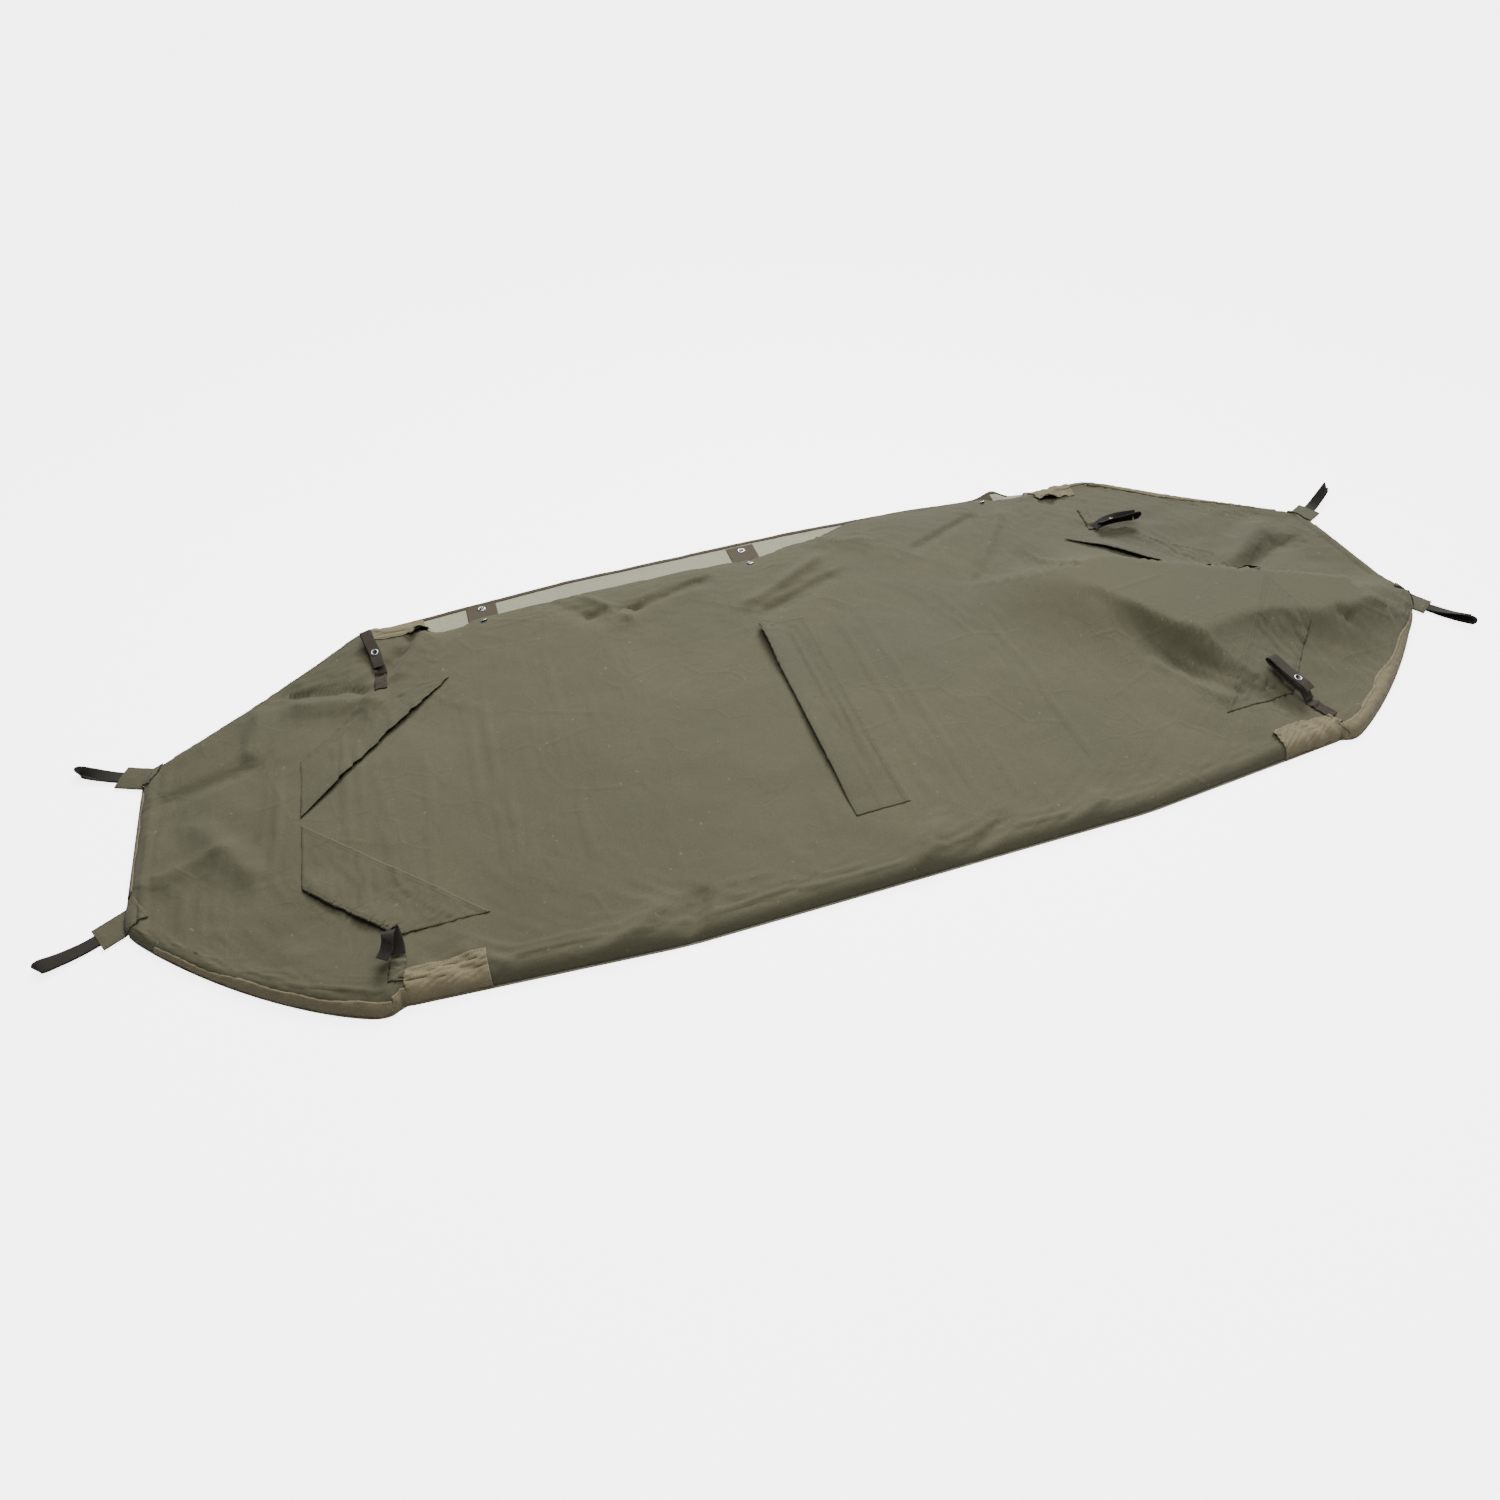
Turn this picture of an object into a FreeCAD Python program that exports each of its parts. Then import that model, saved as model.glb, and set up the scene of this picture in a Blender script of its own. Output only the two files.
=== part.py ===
import FreeCAD, Part
import math
import os

# A folding stretcher cover: two fabric sheets joined round their edges, lying flat and empty,
# with strips, tapes, loops and press studs sewn to it. Millimetres. X runs along the length,
# Y across towards the open long edge, Z up. The origin is on the ground under the middle.

V = FreeCAD.Vector
UP = V(0, 0, 1)

# the outline of the lower sheet
HALF_LENGTH = 1100.0
END_HALF_WIDTH = 146.0
SHOULDER_X = 751.0
SHOULDER_Y = 398.0
BELLY_X = 360.0
HALF_WIDTH = 430.0
CORNER_RADIUS = 40.0

# cloth, webbing and the height at which the upper sheet lies
CLOTH = 0.8
WEBBING = 1.6
WEBBING_WIDTH = 20.0
LOFT = 20.0
WALL_RUN = 30.0
MARGIN = 10.0
HEM_CLEAR = 0.5

# the two folds across the sheets, and the gap between panels on each side of a fold
FOLD_LEFT_X = -605.0
FOLD_RIGHT_X = 572.0
FOLD_GAP = 0.5

# the mouth in the far long edge
MOUTH_HINGE_Y = 305.0
MOUTH_EDGE_Y = 397.0
MOUTH_EDGE_Z = 12.0
BINDING = 8.0
BINDING_END_X = -685.0
STUD_X = (-532.0, -16.0, 500.0)
STUD_FROM_EDGE = 17.0
CAP_Y = 378.0
PATCH = (56.0, 44.0)

# press studs
STUD_R = 7.5
STUD_BASE = 0.8
POST_R = 3.0
POST_TOP = 3.4
SHANK_R = 2.0
CAP_HEIGHT = 1.6

# the strip pocket across the middle: x of its open and stitched edges, then y of its ends
CENTRE_OPEN_X = -66.0
CENTRE_STITCH_X = 21.0
CENTRE_Y = (-306.0, 161.0)
CENTRE_GAPE = 8.0

# the four slanting strip pockets, measured from the line on which each pair meets
STRIP_MEET_Y = -45.0
STRIP_HALF_GAP = 7.0
STRIP_REACH = 255.0
STRIP_CORNER = 122.0
STRIP_GAPE = 8.0
STRIP_END_LEFT_X = -856.0
STRIP_END_RIGHT_X = 835.0
SEAM_LIFT = 0.3

# snap straps: foot outer end, foot inner end and the bearing of the loop, per corner
SNAP_STRAPS = {
    "far_left": ((-722.0, 218.0), (-722.0, 284.0), 94.0),
    "near_left": ((-740.0, -356.0), (-728.0, -320.0), 84.0),
    "near_right": ((752.0, -352.0), (726.0, -320.0), 104.0),
    "far_right": ((676.0, 292.0), (664.0, 226.0), 2.0),
}
SNAP_LENGTH = 72.0
SNAP_NECK = 20.0
SNAP_RISE = 4.0
SNAP_GAP = 8.0
SNAP_TAIL = 9.0
SNAP_STUD_AT = 30.0

# corner patches folded over the edge: x range and y of the inner edge, per corner
CORNER_PATCHES = {
    "far_left": (-742.0, -628.0, 356.0),
    "near_left": (-730.0, -622.0, -362.0),
    "near_right": (622.0, 735.0, -362.0),
    "far_right": (612.0, 700.0, 352.0),
}

# end tabs and webbing loops: the corner that each leaves and its bearing
END_LOOPS = {
    "far_left": ((-1096.0, 142.0), 157.0),
    "near_left": ((-1096.0, -142.0), 208.0),
    "near_right": ((1096.0, -142.0), 300.0),
    "far_right": ((1096.0, 142.0), 26.0),
}
TAB_WIDTH = 46.0
TAB_INSIDE = 4.0
TAB_OUTSIDE = 40.0
LOOP_LENGTH = 74.0
LOOP_HEIGHT = 9.2
LOOP_FOOT_Z = 3.0
LOOP_GAP = 1.0

BIG = 3000.0
nodes = {}


def face_of(points):
    """A flat face through points on the ground."""
    corners = [V(x, y, 0) for x, y in points]
    return Part.Face(Part.makePolygon(corners + corners[:1]))


def quarters(points):
    """The points of one quarter, mirrored to a closed outline."""
    right = points + [(x, -y) for x, y in reversed(points)]
    return right + [(-x, -y) for x, y in right]


def corners_inset(inset):
    """The outline's corners, moved in so that every edge lies inset nearer the middle."""
    corners = quarters([(BELLY_X, HALF_WIDTH), (SHOULDER_X, SHOULDER_Y), (HALF_LENGTH, END_HALF_WIDTH)])
    moved = []
    for number, (x, y) in enumerate(corners):
        before = V(*corners[number - 1], 0)
        after = V(*corners[(number + 1) % len(corners)], 0)
        arriving = (V(x, y, 0) - before).normalize()
        leaving = (after - V(x, y, 0)).normalize()
        bisector = (leaving - arriving).normalize()
        reach = inset / abs(arriving.cross(bisector).z)
        moved.append((x + bisector.x * reach, y + bisector.y * reach))
    return moved


def outline(inset):
    """The rounded outline, moved in by inset."""
    shrunk = face_of(corners_inset(inset + CORNER_RADIUS))
    return Part.Face(shrunk.makeOffset2D(CORNER_RADIUS).OuterWire)


def at_height(face, z):
    return face.translated(V(0, 0, z))


def slab(inset, low, high):
    """The outline moved in by inset, from height low to height high."""
    return at_height(outline(inset), low).extrude(UP * (high - low))


def flat_sided(rings):
    """A solid whose faces are the flat rings of points."""
    return Part.makeSolid(Part.makeShell([Part.Face(Part.makePolygon(r + r[:1])) for r in rings]))


def sharp_slab(inset, low, high):
    """The outline with sharp corners, moved in by inset, from height low to height high."""
    return tapered(inset, low, inset, high)


def tapered(low_inset, low, high_inset, high):
    """A block whose sides lean in from low_inset at height low to high_inset at height high."""
    foot = [V(x, y, low) for x, y in corners_inset(low_inset)]
    head = [V(x, y, high) for x, y in corners_inset(high_inset)]
    sides = [[foot[n - 1], foot[n], head[n], head[n - 1]] for n in range(len(foot))]
    return flat_sided(sides + [foot, head])


def stud_place(x):
    """Where the press stud at x sits, a fixed way in from the long edge of the outline."""
    lean = (HALF_WIDTH - SHOULDER_Y) / (SHOULDER_X - BELLY_X)
    edge = HALF_WIDTH - lean * max(0.0, abs(x) - BELLY_X)
    return V(x, edge - STUD_FROM_EDGE, 0)


def box(x, y, z):
    """A box between two x, two y and two z."""
    return Part.makeBox(x[1] - x[0], y[1] - y[0], z[1] - z[0], V(x[0], y[0], z[0]))


def between_x(low, high):
    return box((low, high), (-BIG, BIG), (-BIG, BIG))


def disc(radius, low, high):
    return Part.makeCylinder(radius, high - low, V(0, 0, low))


def band(points, width):
    """A tape of the given width whose side view is the closed outline points, (along, up)."""
    corners = [V(a, -width / 2, b) for a, b in points]
    face = Part.Face(Part.makePolygon(corners + corners[:1]))
    return face.extrude(V(0, width, 0))


def turned_to(shape, place, bearing, z):
    """The shape turned from +X to the bearing in degrees and moved to a place at height z."""
    placed = shape.copy()
    placed.rotate(V(0, 0, 0), UP, bearing)
    placed.translate(V(place[0], place[1], z))
    return placed


def keep(name, shape):
    """Stores one named piece as clean solids."""
    solids = [s for s in shape.Solids if s.Volume > 1.0]
    nodes[name] = solids[0] if len(solids) == 1 else Part.makeCompound(solids)


PANELS = {
    "left": between_x(-BIG, FOLD_LEFT_X - FOLD_GAP),
    "middle": between_x(FOLD_LEFT_X + FOLD_GAP, FOLD_RIGHT_X - FOLD_GAP),
    "right": between_x(FOLD_RIGHT_X + FOLD_GAP, BIG),
}


def sheets():
    """The two main sheets in three panels each, the mouth's binding and the folded hems."""
    wall_slope = (LOFT - CLOTH) / WALL_RUN
    wall = CLOTH * math.sqrt(1 + 1 / wall_slope**2)
    outer = tapered(MARGIN, CLOTH, MARGIN + WALL_RUN, LOFT)
    lost = CLOTH / wall_slope
    inner = tapered(MARGIN + wall, CLOTH, MARGIN + wall + WALL_RUN - lost, LOFT - CLOTH)
    upper = outer.cut(inner)
    mouth = box((FOLD_LEFT_X, FOLD_RIGHT_X), (MOUTH_HINGE_Y, BIG), (0, BIG))
    upper = upper.cut(mouth)
    lower = slab(0.0, 0.0, CLOTH)
    edge = slab(0.0, 0.0, 3 * CLOTH).cut(slab(BINDING, 0.0, 3 * CLOTH))
    binding = edge.common(box((BINDING_END_X, FOLD_RIGHT_X - FOLD_GAP), (MOUTH_HINGE_Y, BIG), (0, BIG)))
    lower = lower.cut(binding)
    for x in STUD_X:
        lower = lower.cut(disc(SHANK_R, 0, CLOTH).translated(stud_place(x)))
    for side, panel in PANELS.items():
        keep("lower_sheet_" + side, lower.common(panel))
        keep("upper_sheet_" + side, upper.common(panel))
    keep("mouth_binding_middle", binding.common(PANELS["middle"]))
    keep("mouth_binding_left", binding.common(PANELS["left"]))
    ring = slab(HEM_CLEAR, CLOTH, 2 * CLOTH).cut(sharp_slab(MARGIN - HEM_CLEAR, CLOTH, 2 * CLOTH))
    for side in ("left", "right"):
        hem = ring.common(PANELS[side]).cut(nodes["mouth_binding_left"])
        tab_room = END_HALF_WIDTH - TAB_WIDTH
        shoulder = END_HALF_WIDTH + TAB_WIDTH
        keep("hem_" + side + "_far", hem.common(box((-BIG, BIG), (shoulder, BIG), (0, BIG))))
        keep("hem_" + side + "_near", hem.common(box((-BIG, BIG), (-BIG, -shoulder), (0, BIG))))
        keep("hem_" + side + "_end", hem.common(box((-BIG, BIG), (-tab_room, tab_room), (0, BIG))))


def mouth_flap():
    """The upper sheet's free border over the mouth, its hem, and the press-stud caps on it."""
    run = MOUTH_EDGE_Y - MOUTH_HINGE_Y
    slope = math.degrees(math.atan2(LOFT - MOUTH_EDGE_Z, run))
    length = run / math.cos(math.radians(slope))
    x = (FOLD_LEFT_X + 2 * FOLD_GAP, FOLD_RIGHT_X - 2 * FOLD_GAP)

    def laid(shape):
        placed = shape.copy()
        placed.rotate(V(0, 0, 0), V(1, 0, 0), -slope)
        placed.translate(V(0, MOUTH_HINGE_Y, LOFT))
        return placed

    cloth = box(x, (FOLD_GAP, length), (-CLOTH, 0))
    cap_at = (CAP_Y - MOUTH_HINGE_Y) / math.cos(math.radians(slope))
    caps = []
    for stud_x in STUD_X:
        hole = disc(SHANK_R, -CLOTH, 0).translated(V(stud_x, cap_at, 0))
        cloth = cloth.cut(hole)
        cap = disc(STUD_R, 0, CAP_HEIGHT).fuse(disc(SHANK_R, -CLOTH, 0))
        cap = cap.makeFillet(CAP_HEIGHT / 2, [e for e in cap.Edges if e.BoundBox.ZMin > CAP_HEIGHT - 0.01])
        caps.append(cap.translated(V(stud_x, cap_at, 0)))
    hem = box(x, (length - BINDING, length), (-2 * CLOTH, -CLOTH))
    keep("mouth_flap", laid(cloth))
    keep("mouth_flap_hem", laid(hem))
    keep("mouth_stud_caps", laid(Part.makeCompound(caps)))


def mouth_studs():
    """The reinforcing patches inside the mouth and the press studs riveted through them."""
    studs = []
    for number, x in enumerate(STUD_X):
        stud = disc(STUD_R, 2 * CLOTH, 2 * CLOTH + STUD_BASE)
        stud = stud.fuse(disc(POST_R, 2 * CLOTH, 2 * CLOTH + POST_TOP)).fuse(disc(SHANK_R, 0, 2 * CLOTH))
        stud = stud.translated(stud_place(x))
        far = stud_place(x).y + STUD_R + 1.0
        patch = box((x - PATCH[0] / 2, x + PATCH[0] / 2), (far - PATCH[1], far), (CLOTH, 2 * CLOTH))
        patch = patch.common(slab(BINDING, 0.0, BIG)).cut(stud)
        keep("stud_patch_%d" % (number + 1), patch)
        studs.append(stud)
    keep("mouth_studs", Part.makeCompound(studs))


def hinged_strip(stitch, open_edge, gape):
    """A strip of cloth between its stitched edge and its open edge, which stands up by gape."""
    low = [V(x, y, LOFT + SEAM_LIFT) for x, y in stitch] + [V(x, y, LOFT + SEAM_LIFT + gape) for x, y in open_edge]
    face = Part.Face(Part.makePolygon(low + low[:1]))
    return face.extrude(UP * CLOTH)


def strip_pockets():
    """The strip across the middle and the four slanting ones, each sewn along one long edge."""
    stitch = ((CENTRE_STITCH_X, CENTRE_Y[0]), (CENTRE_STITCH_X, CENTRE_Y[1]))
    opening = ((CENTRE_OPEN_X, CENTRE_Y[1]), (CENTRE_OPEN_X, CENTRE_Y[0]))
    keep("centre_strip", hinged_strip(stitch, opening, CENTRE_GAPE))
    for side, end_x in (("left", STRIP_END_LEFT_X), ("right", STRIP_END_RIGHT_X)):
        inward = 1.0 if side == "left" else -1.0
        for edge, away in (("near", -1.0), ("far", 1.0)):
            meet = STRIP_MEET_Y + away * STRIP_HALF_GAP
            reach = STRIP_MEET_Y + away * STRIP_REACH
            run = STRIP_REACH - STRIP_HALF_GAP
            inner = ((end_x, meet), (end_x + inward * run, reach))
            outer = ((end_x + inward * STRIP_CORNER, reach), (end_x, meet + away * (run - STRIP_CORNER)))
            sewn, loose = (inner, outer) if edge == "near" else (outer, inner)
            keep("strip_%s_%s" % (edge, side), hinged_strip(sewn, loose, STRIP_GAPE))


def snap_straps():
    """Four webbing loops closed by a press stud, each rising from a foot sewn to the sheet."""
    top = SNAP_NECK + SNAP_RISE
    slope = SNAP_RISE / (SNAP_LENGTH - SNAP_NECK)
    turn = WEBBING * math.tan(math.radians(22.5))
    lower = band(
        [
            (1.0, 1.0),
            (SNAP_NECK, SNAP_NECK),
            (SNAP_LENGTH, top),
            (SNAP_LENGTH, top + WEBBING),
            (SNAP_NECK - turn, SNAP_NECK + WEBBING),
            (1.0, 1.0 + WEBBING * math.sqrt(2)),
        ],
        WEBBING_WIDTH,
    )
    rise = SNAP_GAP + WEBBING
    upper = band(
        [
            (SNAP_LENGTH + 0.3, top),
            (SNAP_LENGTH + 0.3 + WEBBING, top),
            (SNAP_LENGTH + 0.3 + WEBBING, top + rise + WEBBING),
            (SNAP_NECK, SNAP_NECK + rise + WEBBING),
            (SNAP_TAIL, SNAP_NECK + rise + WEBBING - SNAP_TAIL),
            (SNAP_TAIL, SNAP_NECK + rise - SNAP_TAIL),
            (SNAP_NECK, SNAP_NECK + rise),
            (SNAP_LENGTH + 0.3, top + rise),
        ],
        WEBBING_WIDTH,
    )
    seat = SNAP_NECK + WEBBING + slope * (SNAP_STUD_AT - SNAP_NECK)
    roof = seat + SNAP_GAP
    post = disc(STUD_R, seat, seat + 1.2).fuse(disc(POST_R, seat, roof - 1.0))
    post = post.translated(V(SNAP_STUD_AT, 0, 0)).cut(lower)
    socket = disc(STUD_R, seat + 4.0, roof + 0.5).cut(disc(POST_R + 0.4, 0.0, roof - 0.7))
    socket = socket.translated(V(SNAP_STUD_AT, 0, 0)).cut(upper)
    socket = Part.makeCompound([max(socket.Solids, key=lambda s: s.Volume)])
    for corner, (foot_out, foot_in, bearing) in SNAP_STRAPS.items():
        along = V(foot_in[0] - foot_out[0], foot_in[1] - foot_out[1], 0)
        lie = math.degrees(math.atan2(along.y, along.x))
        foot = box((0, along.Length), (-WEBBING_WIDTH / 2, WEBBING_WIDTH / 2), (0, WEBBING))
        keep("snap_foot_" + corner, turned_to(foot, foot_out, lie, LOFT))
        z = LOFT + WEBBING
        keep("snap_loop_" + corner, turned_to(lower, foot_in, bearing, z))
        keep("snap_leg_" + corner, turned_to(upper, foot_in, bearing, z))
        keep("snap_stud_" + corner, turned_to(post, foot_in, bearing, z))
        keep("snap_socket_" + corner, turned_to(socket, foot_in, bearing, z))


def corner_patches():
    """The four patches that lie over the leaning edge at the wide corners."""
    out = 2.4 * CLOTH
    over = tapered(MARGIN - out, CLOTH, MARGIN - out + WALL_RUN, LOFT)
    skin = over.cut(tapered(MARGIN, CLOTH, MARGIN + WALL_RUN, LOFT))
    for corner, (low_x, high_x, inner_y) in CORNER_PATCHES.items():
        across = (inner_y, BIG) if inner_y > 0 else (-BIG, inner_y)
        patch = skin.common(box((low_x, high_x), across, (2 * CLOTH + 0.1, LOFT)))
        keep("corner_patch_" + corner, patch)


def end_loops():
    """At each end corner a doubled cloth tab and, hinged to it, a doubled webbing loop."""
    rim = sharp_slab(MARGIN, 0.0, BIG)
    tab = box((-TAB_INSIDE, TAB_OUTSIDE), (-TAB_WIDTH / 2, TAB_WIDTH / 2), (0, WEBBING))
    start = TAB_OUTSIDE + LOOP_GAP
    outside = box((start, start + LOOP_LENGTH), (-WEBBING_WIDTH / 2, WEBBING_WIDTH / 2), (0, LOOP_HEIGHT))
    rims = [e for e in outside.Edges if abs(e.tangentAt(e.FirstParameter).y) > 0.9]
    outside = outside.makeFillet(LOOP_HEIGHT / 2 - 0.1, rims)
    eye = box(
        (start + WEBBING, start + LOOP_LENGTH - WEBBING),
        (-WEBBING_WIDTH, WEBBING_WIDTH),
        (WEBBING, LOOP_HEIGHT - WEBBING),
    )
    rims = [e for e in eye.Edges if abs(e.tangentAt(e.FirstParameter).y) > 0.9]
    eye = eye.makeFillet(LOOP_HEIGHT / 2 - WEBBING - 0.1, rims)
    loop = outside.cut(eye)
    for corner, (place, bearing) in END_LOOPS.items():
        keep("end_tab_" + corner, turned_to(tab, place, bearing, CLOTH).cut(rim))
        keep("end_loop_" + corner, turned_to(loop, place, bearing, LOOP_FOOT_Z))


sheets()
mouth_flap()
mouth_studs()
strip_pockets()
snap_straps()
corner_patches()
end_loops()

os.makedirs("parts", exist_ok=True)
for name, shape in nodes.items():
    if not shape.isValid():
        raise ValueError(name + " isn't a valid solid")
    shape.exportStep("parts/%s.step" % name)
    span = shape.BoundBox
    print("%-26s %d solids  x %7.1f %7.1f  y %7.1f %7.1f  z %5.1f %5.1f" % (
        name, len(shape.Solids), span.XMin, span.XMax, span.YMin, span.YMax, span.ZMin, span.ZMax))
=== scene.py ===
import math

import bmesh
import bpy
from bpy.props import FloatProperty, FloatVectorProperty, IntProperty, PointerProperty
from mathutils import Matrix, Vector, noise
from mathutils.bvhtree import BVHTree


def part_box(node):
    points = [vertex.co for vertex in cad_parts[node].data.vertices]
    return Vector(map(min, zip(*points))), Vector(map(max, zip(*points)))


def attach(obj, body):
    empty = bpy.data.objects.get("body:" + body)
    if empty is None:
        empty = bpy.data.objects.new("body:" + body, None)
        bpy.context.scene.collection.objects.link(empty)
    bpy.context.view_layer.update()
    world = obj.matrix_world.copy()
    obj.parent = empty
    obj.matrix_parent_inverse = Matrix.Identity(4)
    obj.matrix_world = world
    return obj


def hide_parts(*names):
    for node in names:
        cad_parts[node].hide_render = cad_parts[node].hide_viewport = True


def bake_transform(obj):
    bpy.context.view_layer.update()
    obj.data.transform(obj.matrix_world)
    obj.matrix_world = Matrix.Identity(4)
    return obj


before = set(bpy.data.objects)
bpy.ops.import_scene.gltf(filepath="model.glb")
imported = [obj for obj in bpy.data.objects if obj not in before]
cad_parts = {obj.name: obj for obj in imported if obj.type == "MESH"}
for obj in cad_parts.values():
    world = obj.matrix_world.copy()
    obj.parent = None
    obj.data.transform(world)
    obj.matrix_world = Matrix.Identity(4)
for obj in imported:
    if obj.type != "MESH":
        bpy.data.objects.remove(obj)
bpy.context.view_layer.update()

bl_info = {
    "name": "Folding stretcher cover",
    "version": (1, 0, 0),
    "blender": (4, 5, 0),
    "location": "View3D > Sidebar > Cover",
    "description": "Builds a two-layer fabric cover with strips, straps, loops and press studs",
    "category": "Object",
}

# outline of the lower cloth, metres
HALF_LENGTH = 1.100
BELLY_X = 0.360
SHOULDER_X = 0.751
HALF_WIDTH = 0.430
SHOULDER_Y = 0.398
END_HALF_WIDTH = 0.146
ROUND_X, ROUND_Y, ROUND_R, ROUND_FROM = 1.060, 0.1255, 0.040, 1.0834
CORNER_SOFTNESS = 0.022
BOW_FROM, BOW_RUN = 0.740, 0.370
TAPER_BOWS = {(-1, False): 0.047, (-1, True): 0.036, (1, False): -0.013, (1, True): -0.009}
MOUTH_SAG = 0.010

# places along the length
PARTING_X = -0.020
FOLD_LEFT = (-0.575, -0.612)
FOLD_RIGHT = (0.542, 0.579)
MOUTH_X = (-0.604, 0.571)
MOUTH_Y = 0.305
BINDING_X = (-0.685, 0.571)
STUD_X = (-0.532, -0.016, 0.500)

# the free edge of the upper cloth along the mouth, and the upper cloth's far edge beside it: x, y
MOUTH_EDGE = (
    (-0.720, 0.393), (-0.665, 0.388), (-0.618, 0.350), (-0.585, 0.350), (-0.532, 0.364),
    (-0.386, 0.371), (-0.211, 0.378), (-0.020, 0.372), (0.099, 0.392), (0.230, 0.421),
    (0.415, 0.418), (0.500, 0.406), (0.541, 0.394), (0.600, 0.394), (0.660, 0.398),
)

# soft folds of the upper cloth: start x, y, end x, y, height, width on the left, width on the right
FOLDS = (
    (0.500, 0.085, 0.640, 0.030, 0.020, 0.055, 0.110),
    (0.600, 0.045, 0.700, -0.008, 0.024, 0.050, 0.125),
    (0.700, -0.008, 0.811, -0.047, 0.025, 0.045, 0.120),
    (0.811, -0.047, 0.907, -0.115, 0.022, 0.042, 0.100),
    (0.907, -0.115, 1.030, -0.140, 0.017, 0.045, 0.070),
    (0.545, 0.060, 0.610, -0.110, 0.013, 0.090, 0.032),
    (0.610, -0.110, 0.665, -0.235, 0.009, 0.080, 0.028),
    (0.497, 0.165, 0.548, 0.020, -0.007, 0.035, 0.035),
    (0.548, 0.020, 0.590, -0.200, -0.008, 0.030, 0.035),
    (0.807, 0.000, 0.986, 0.069, -0.011, 0.020, 0.028),
    (0.850, 0.040, 0.960, 0.120, 0.009, 0.022, 0.030),
    (0.839, -0.065, 0.903, -0.185, -0.008, 0.012, 0.018),
    (0.880, -0.060, 0.960, -0.105, 0.008, 0.014, 0.020),
    (0.548, -0.164, 0.605, -0.275, 0.004, 0.010, 0.010),
    (0.575, -0.160, 0.630, -0.270, -0.003, 0.008, 0.008),
    (-0.055, 0.223, 0.103, 0.308, 0.008, 0.018, 0.008),
    (-0.034, 0.200, 0.107, 0.255, -0.006, 0.010, 0.022),
    (-0.289, 0.285, -0.129, 0.330, -0.007, 0.010, 0.022),
    (-0.300, 0.262, -0.150, 0.300, 0.004, 0.010, 0.024),
    (-0.338, 0.342, -0.279, 0.260, 0.006, 0.010, 0.014),
    (-0.409, 0.360, -0.349, 0.292, -0.005, 0.012, 0.016),
    (-0.349, 0.292, -0.252, 0.289, -0.004, 0.010, 0.016),
    (0.307, 0.290, 0.453, 0.350, -0.005, 0.008, 0.014),
    (0.507, 0.332, 0.401, 0.200, 0.005, 0.012, 0.014),
    (0.147, 0.374, 0.220, 0.337, 0.004, 0.010, 0.014),
    (-0.870, 0.250, -0.758, 0.222, -0.010, 0.016, 0.016),
    (-0.850, 0.215, -0.740, 0.190, 0.007, 0.018, 0.022),
    (-0.758, 0.229, -0.690, 0.300, -0.006, 0.012, 0.018),
    (-0.640, 0.330, -0.690, 0.240, 0.006, 0.010, 0.012),
    (-0.665, 0.330, -0.720, 0.260, -0.005, 0.010, 0.012),
    (-0.932, 0.130, -0.918, 0.215, 0.006, 0.014, 0.018),
    (-1.060, 0.066, -0.940, 0.100, -0.006, 0.014, 0.018),
    (-1.001, -0.012, -0.928, -0.115, 0.005, 0.016, 0.020),
    (-1.050, -0.090, -0.960, -0.060, 0.004, 0.012, 0.016),
    (-0.470, -0.420, -0.390, -0.370, 0.006, 0.016, 0.020),
    (-0.360, -0.425, -0.330, -0.370, -0.006, 0.014, 0.016),
    (-0.010, -0.425, 0.030, -0.370, 0.007, 0.016, 0.018),
    (0.060, -0.425, 0.130, -0.385, -0.005, 0.014, 0.014),
    (0.230, -0.430, 0.290, -0.390, 0.005, 0.014, 0.014),
    (-0.640, -0.390, -0.690, -0.350, -0.002, 0.010, 0.012),
    (-0.600, -0.390, -0.650, -0.350, 0.002, 0.010, 0.010),
)

FOLD_FIRMNESS = 1.35
made = {}


# ------------------------------------------------------------------ settings


class CoverSizes(bpy.types.PropertyGroup):
    """Sizes of the cover that its maker would change."""

    cloth: FloatProperty(
        name="Cloth", description="Thickness of the cloth", default=0.0008, unit="LENGTH"
    )
    loft: FloatProperty(
        name="Loft", description="Height at which the upper cloth lies", default=0.0185, unit="LENGTH"
    )
    roll: FloatProperty(
        name="Edge roll", description="Width over which the edge rises", default=0.027, unit="LENGTH"
    )
    slack: FloatProperty(
        name="Slack",
        description="Extra cloth, as a share of its length, that settles into creases",
        default=0.012,
        subtype="FACTOR",
    )
    settle_steps: IntProperty(
        name="Settling", description="Steps for which the cloth settles", default=22
    )
    webbing: FloatProperty(
        name="Webbing", description="Thickness of the webbing", default=0.0015, unit="LENGTH"
    )
    webbing_width: FloatProperty(
        name="Webbing width", description="Width of the webbing", default=0.020, unit="LENGTH"
    )
    stitch: FloatProperty(
        name="Stitch", description="Distance from one stitch to the next", default=0.0042, unit="LENGTH"
    )


def paint(name, description, colour):
    return FloatVectorProperty(
        name=name, description=description, default=colour, size=3, subtype="COLOR", min=0, max=1
    )


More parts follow.
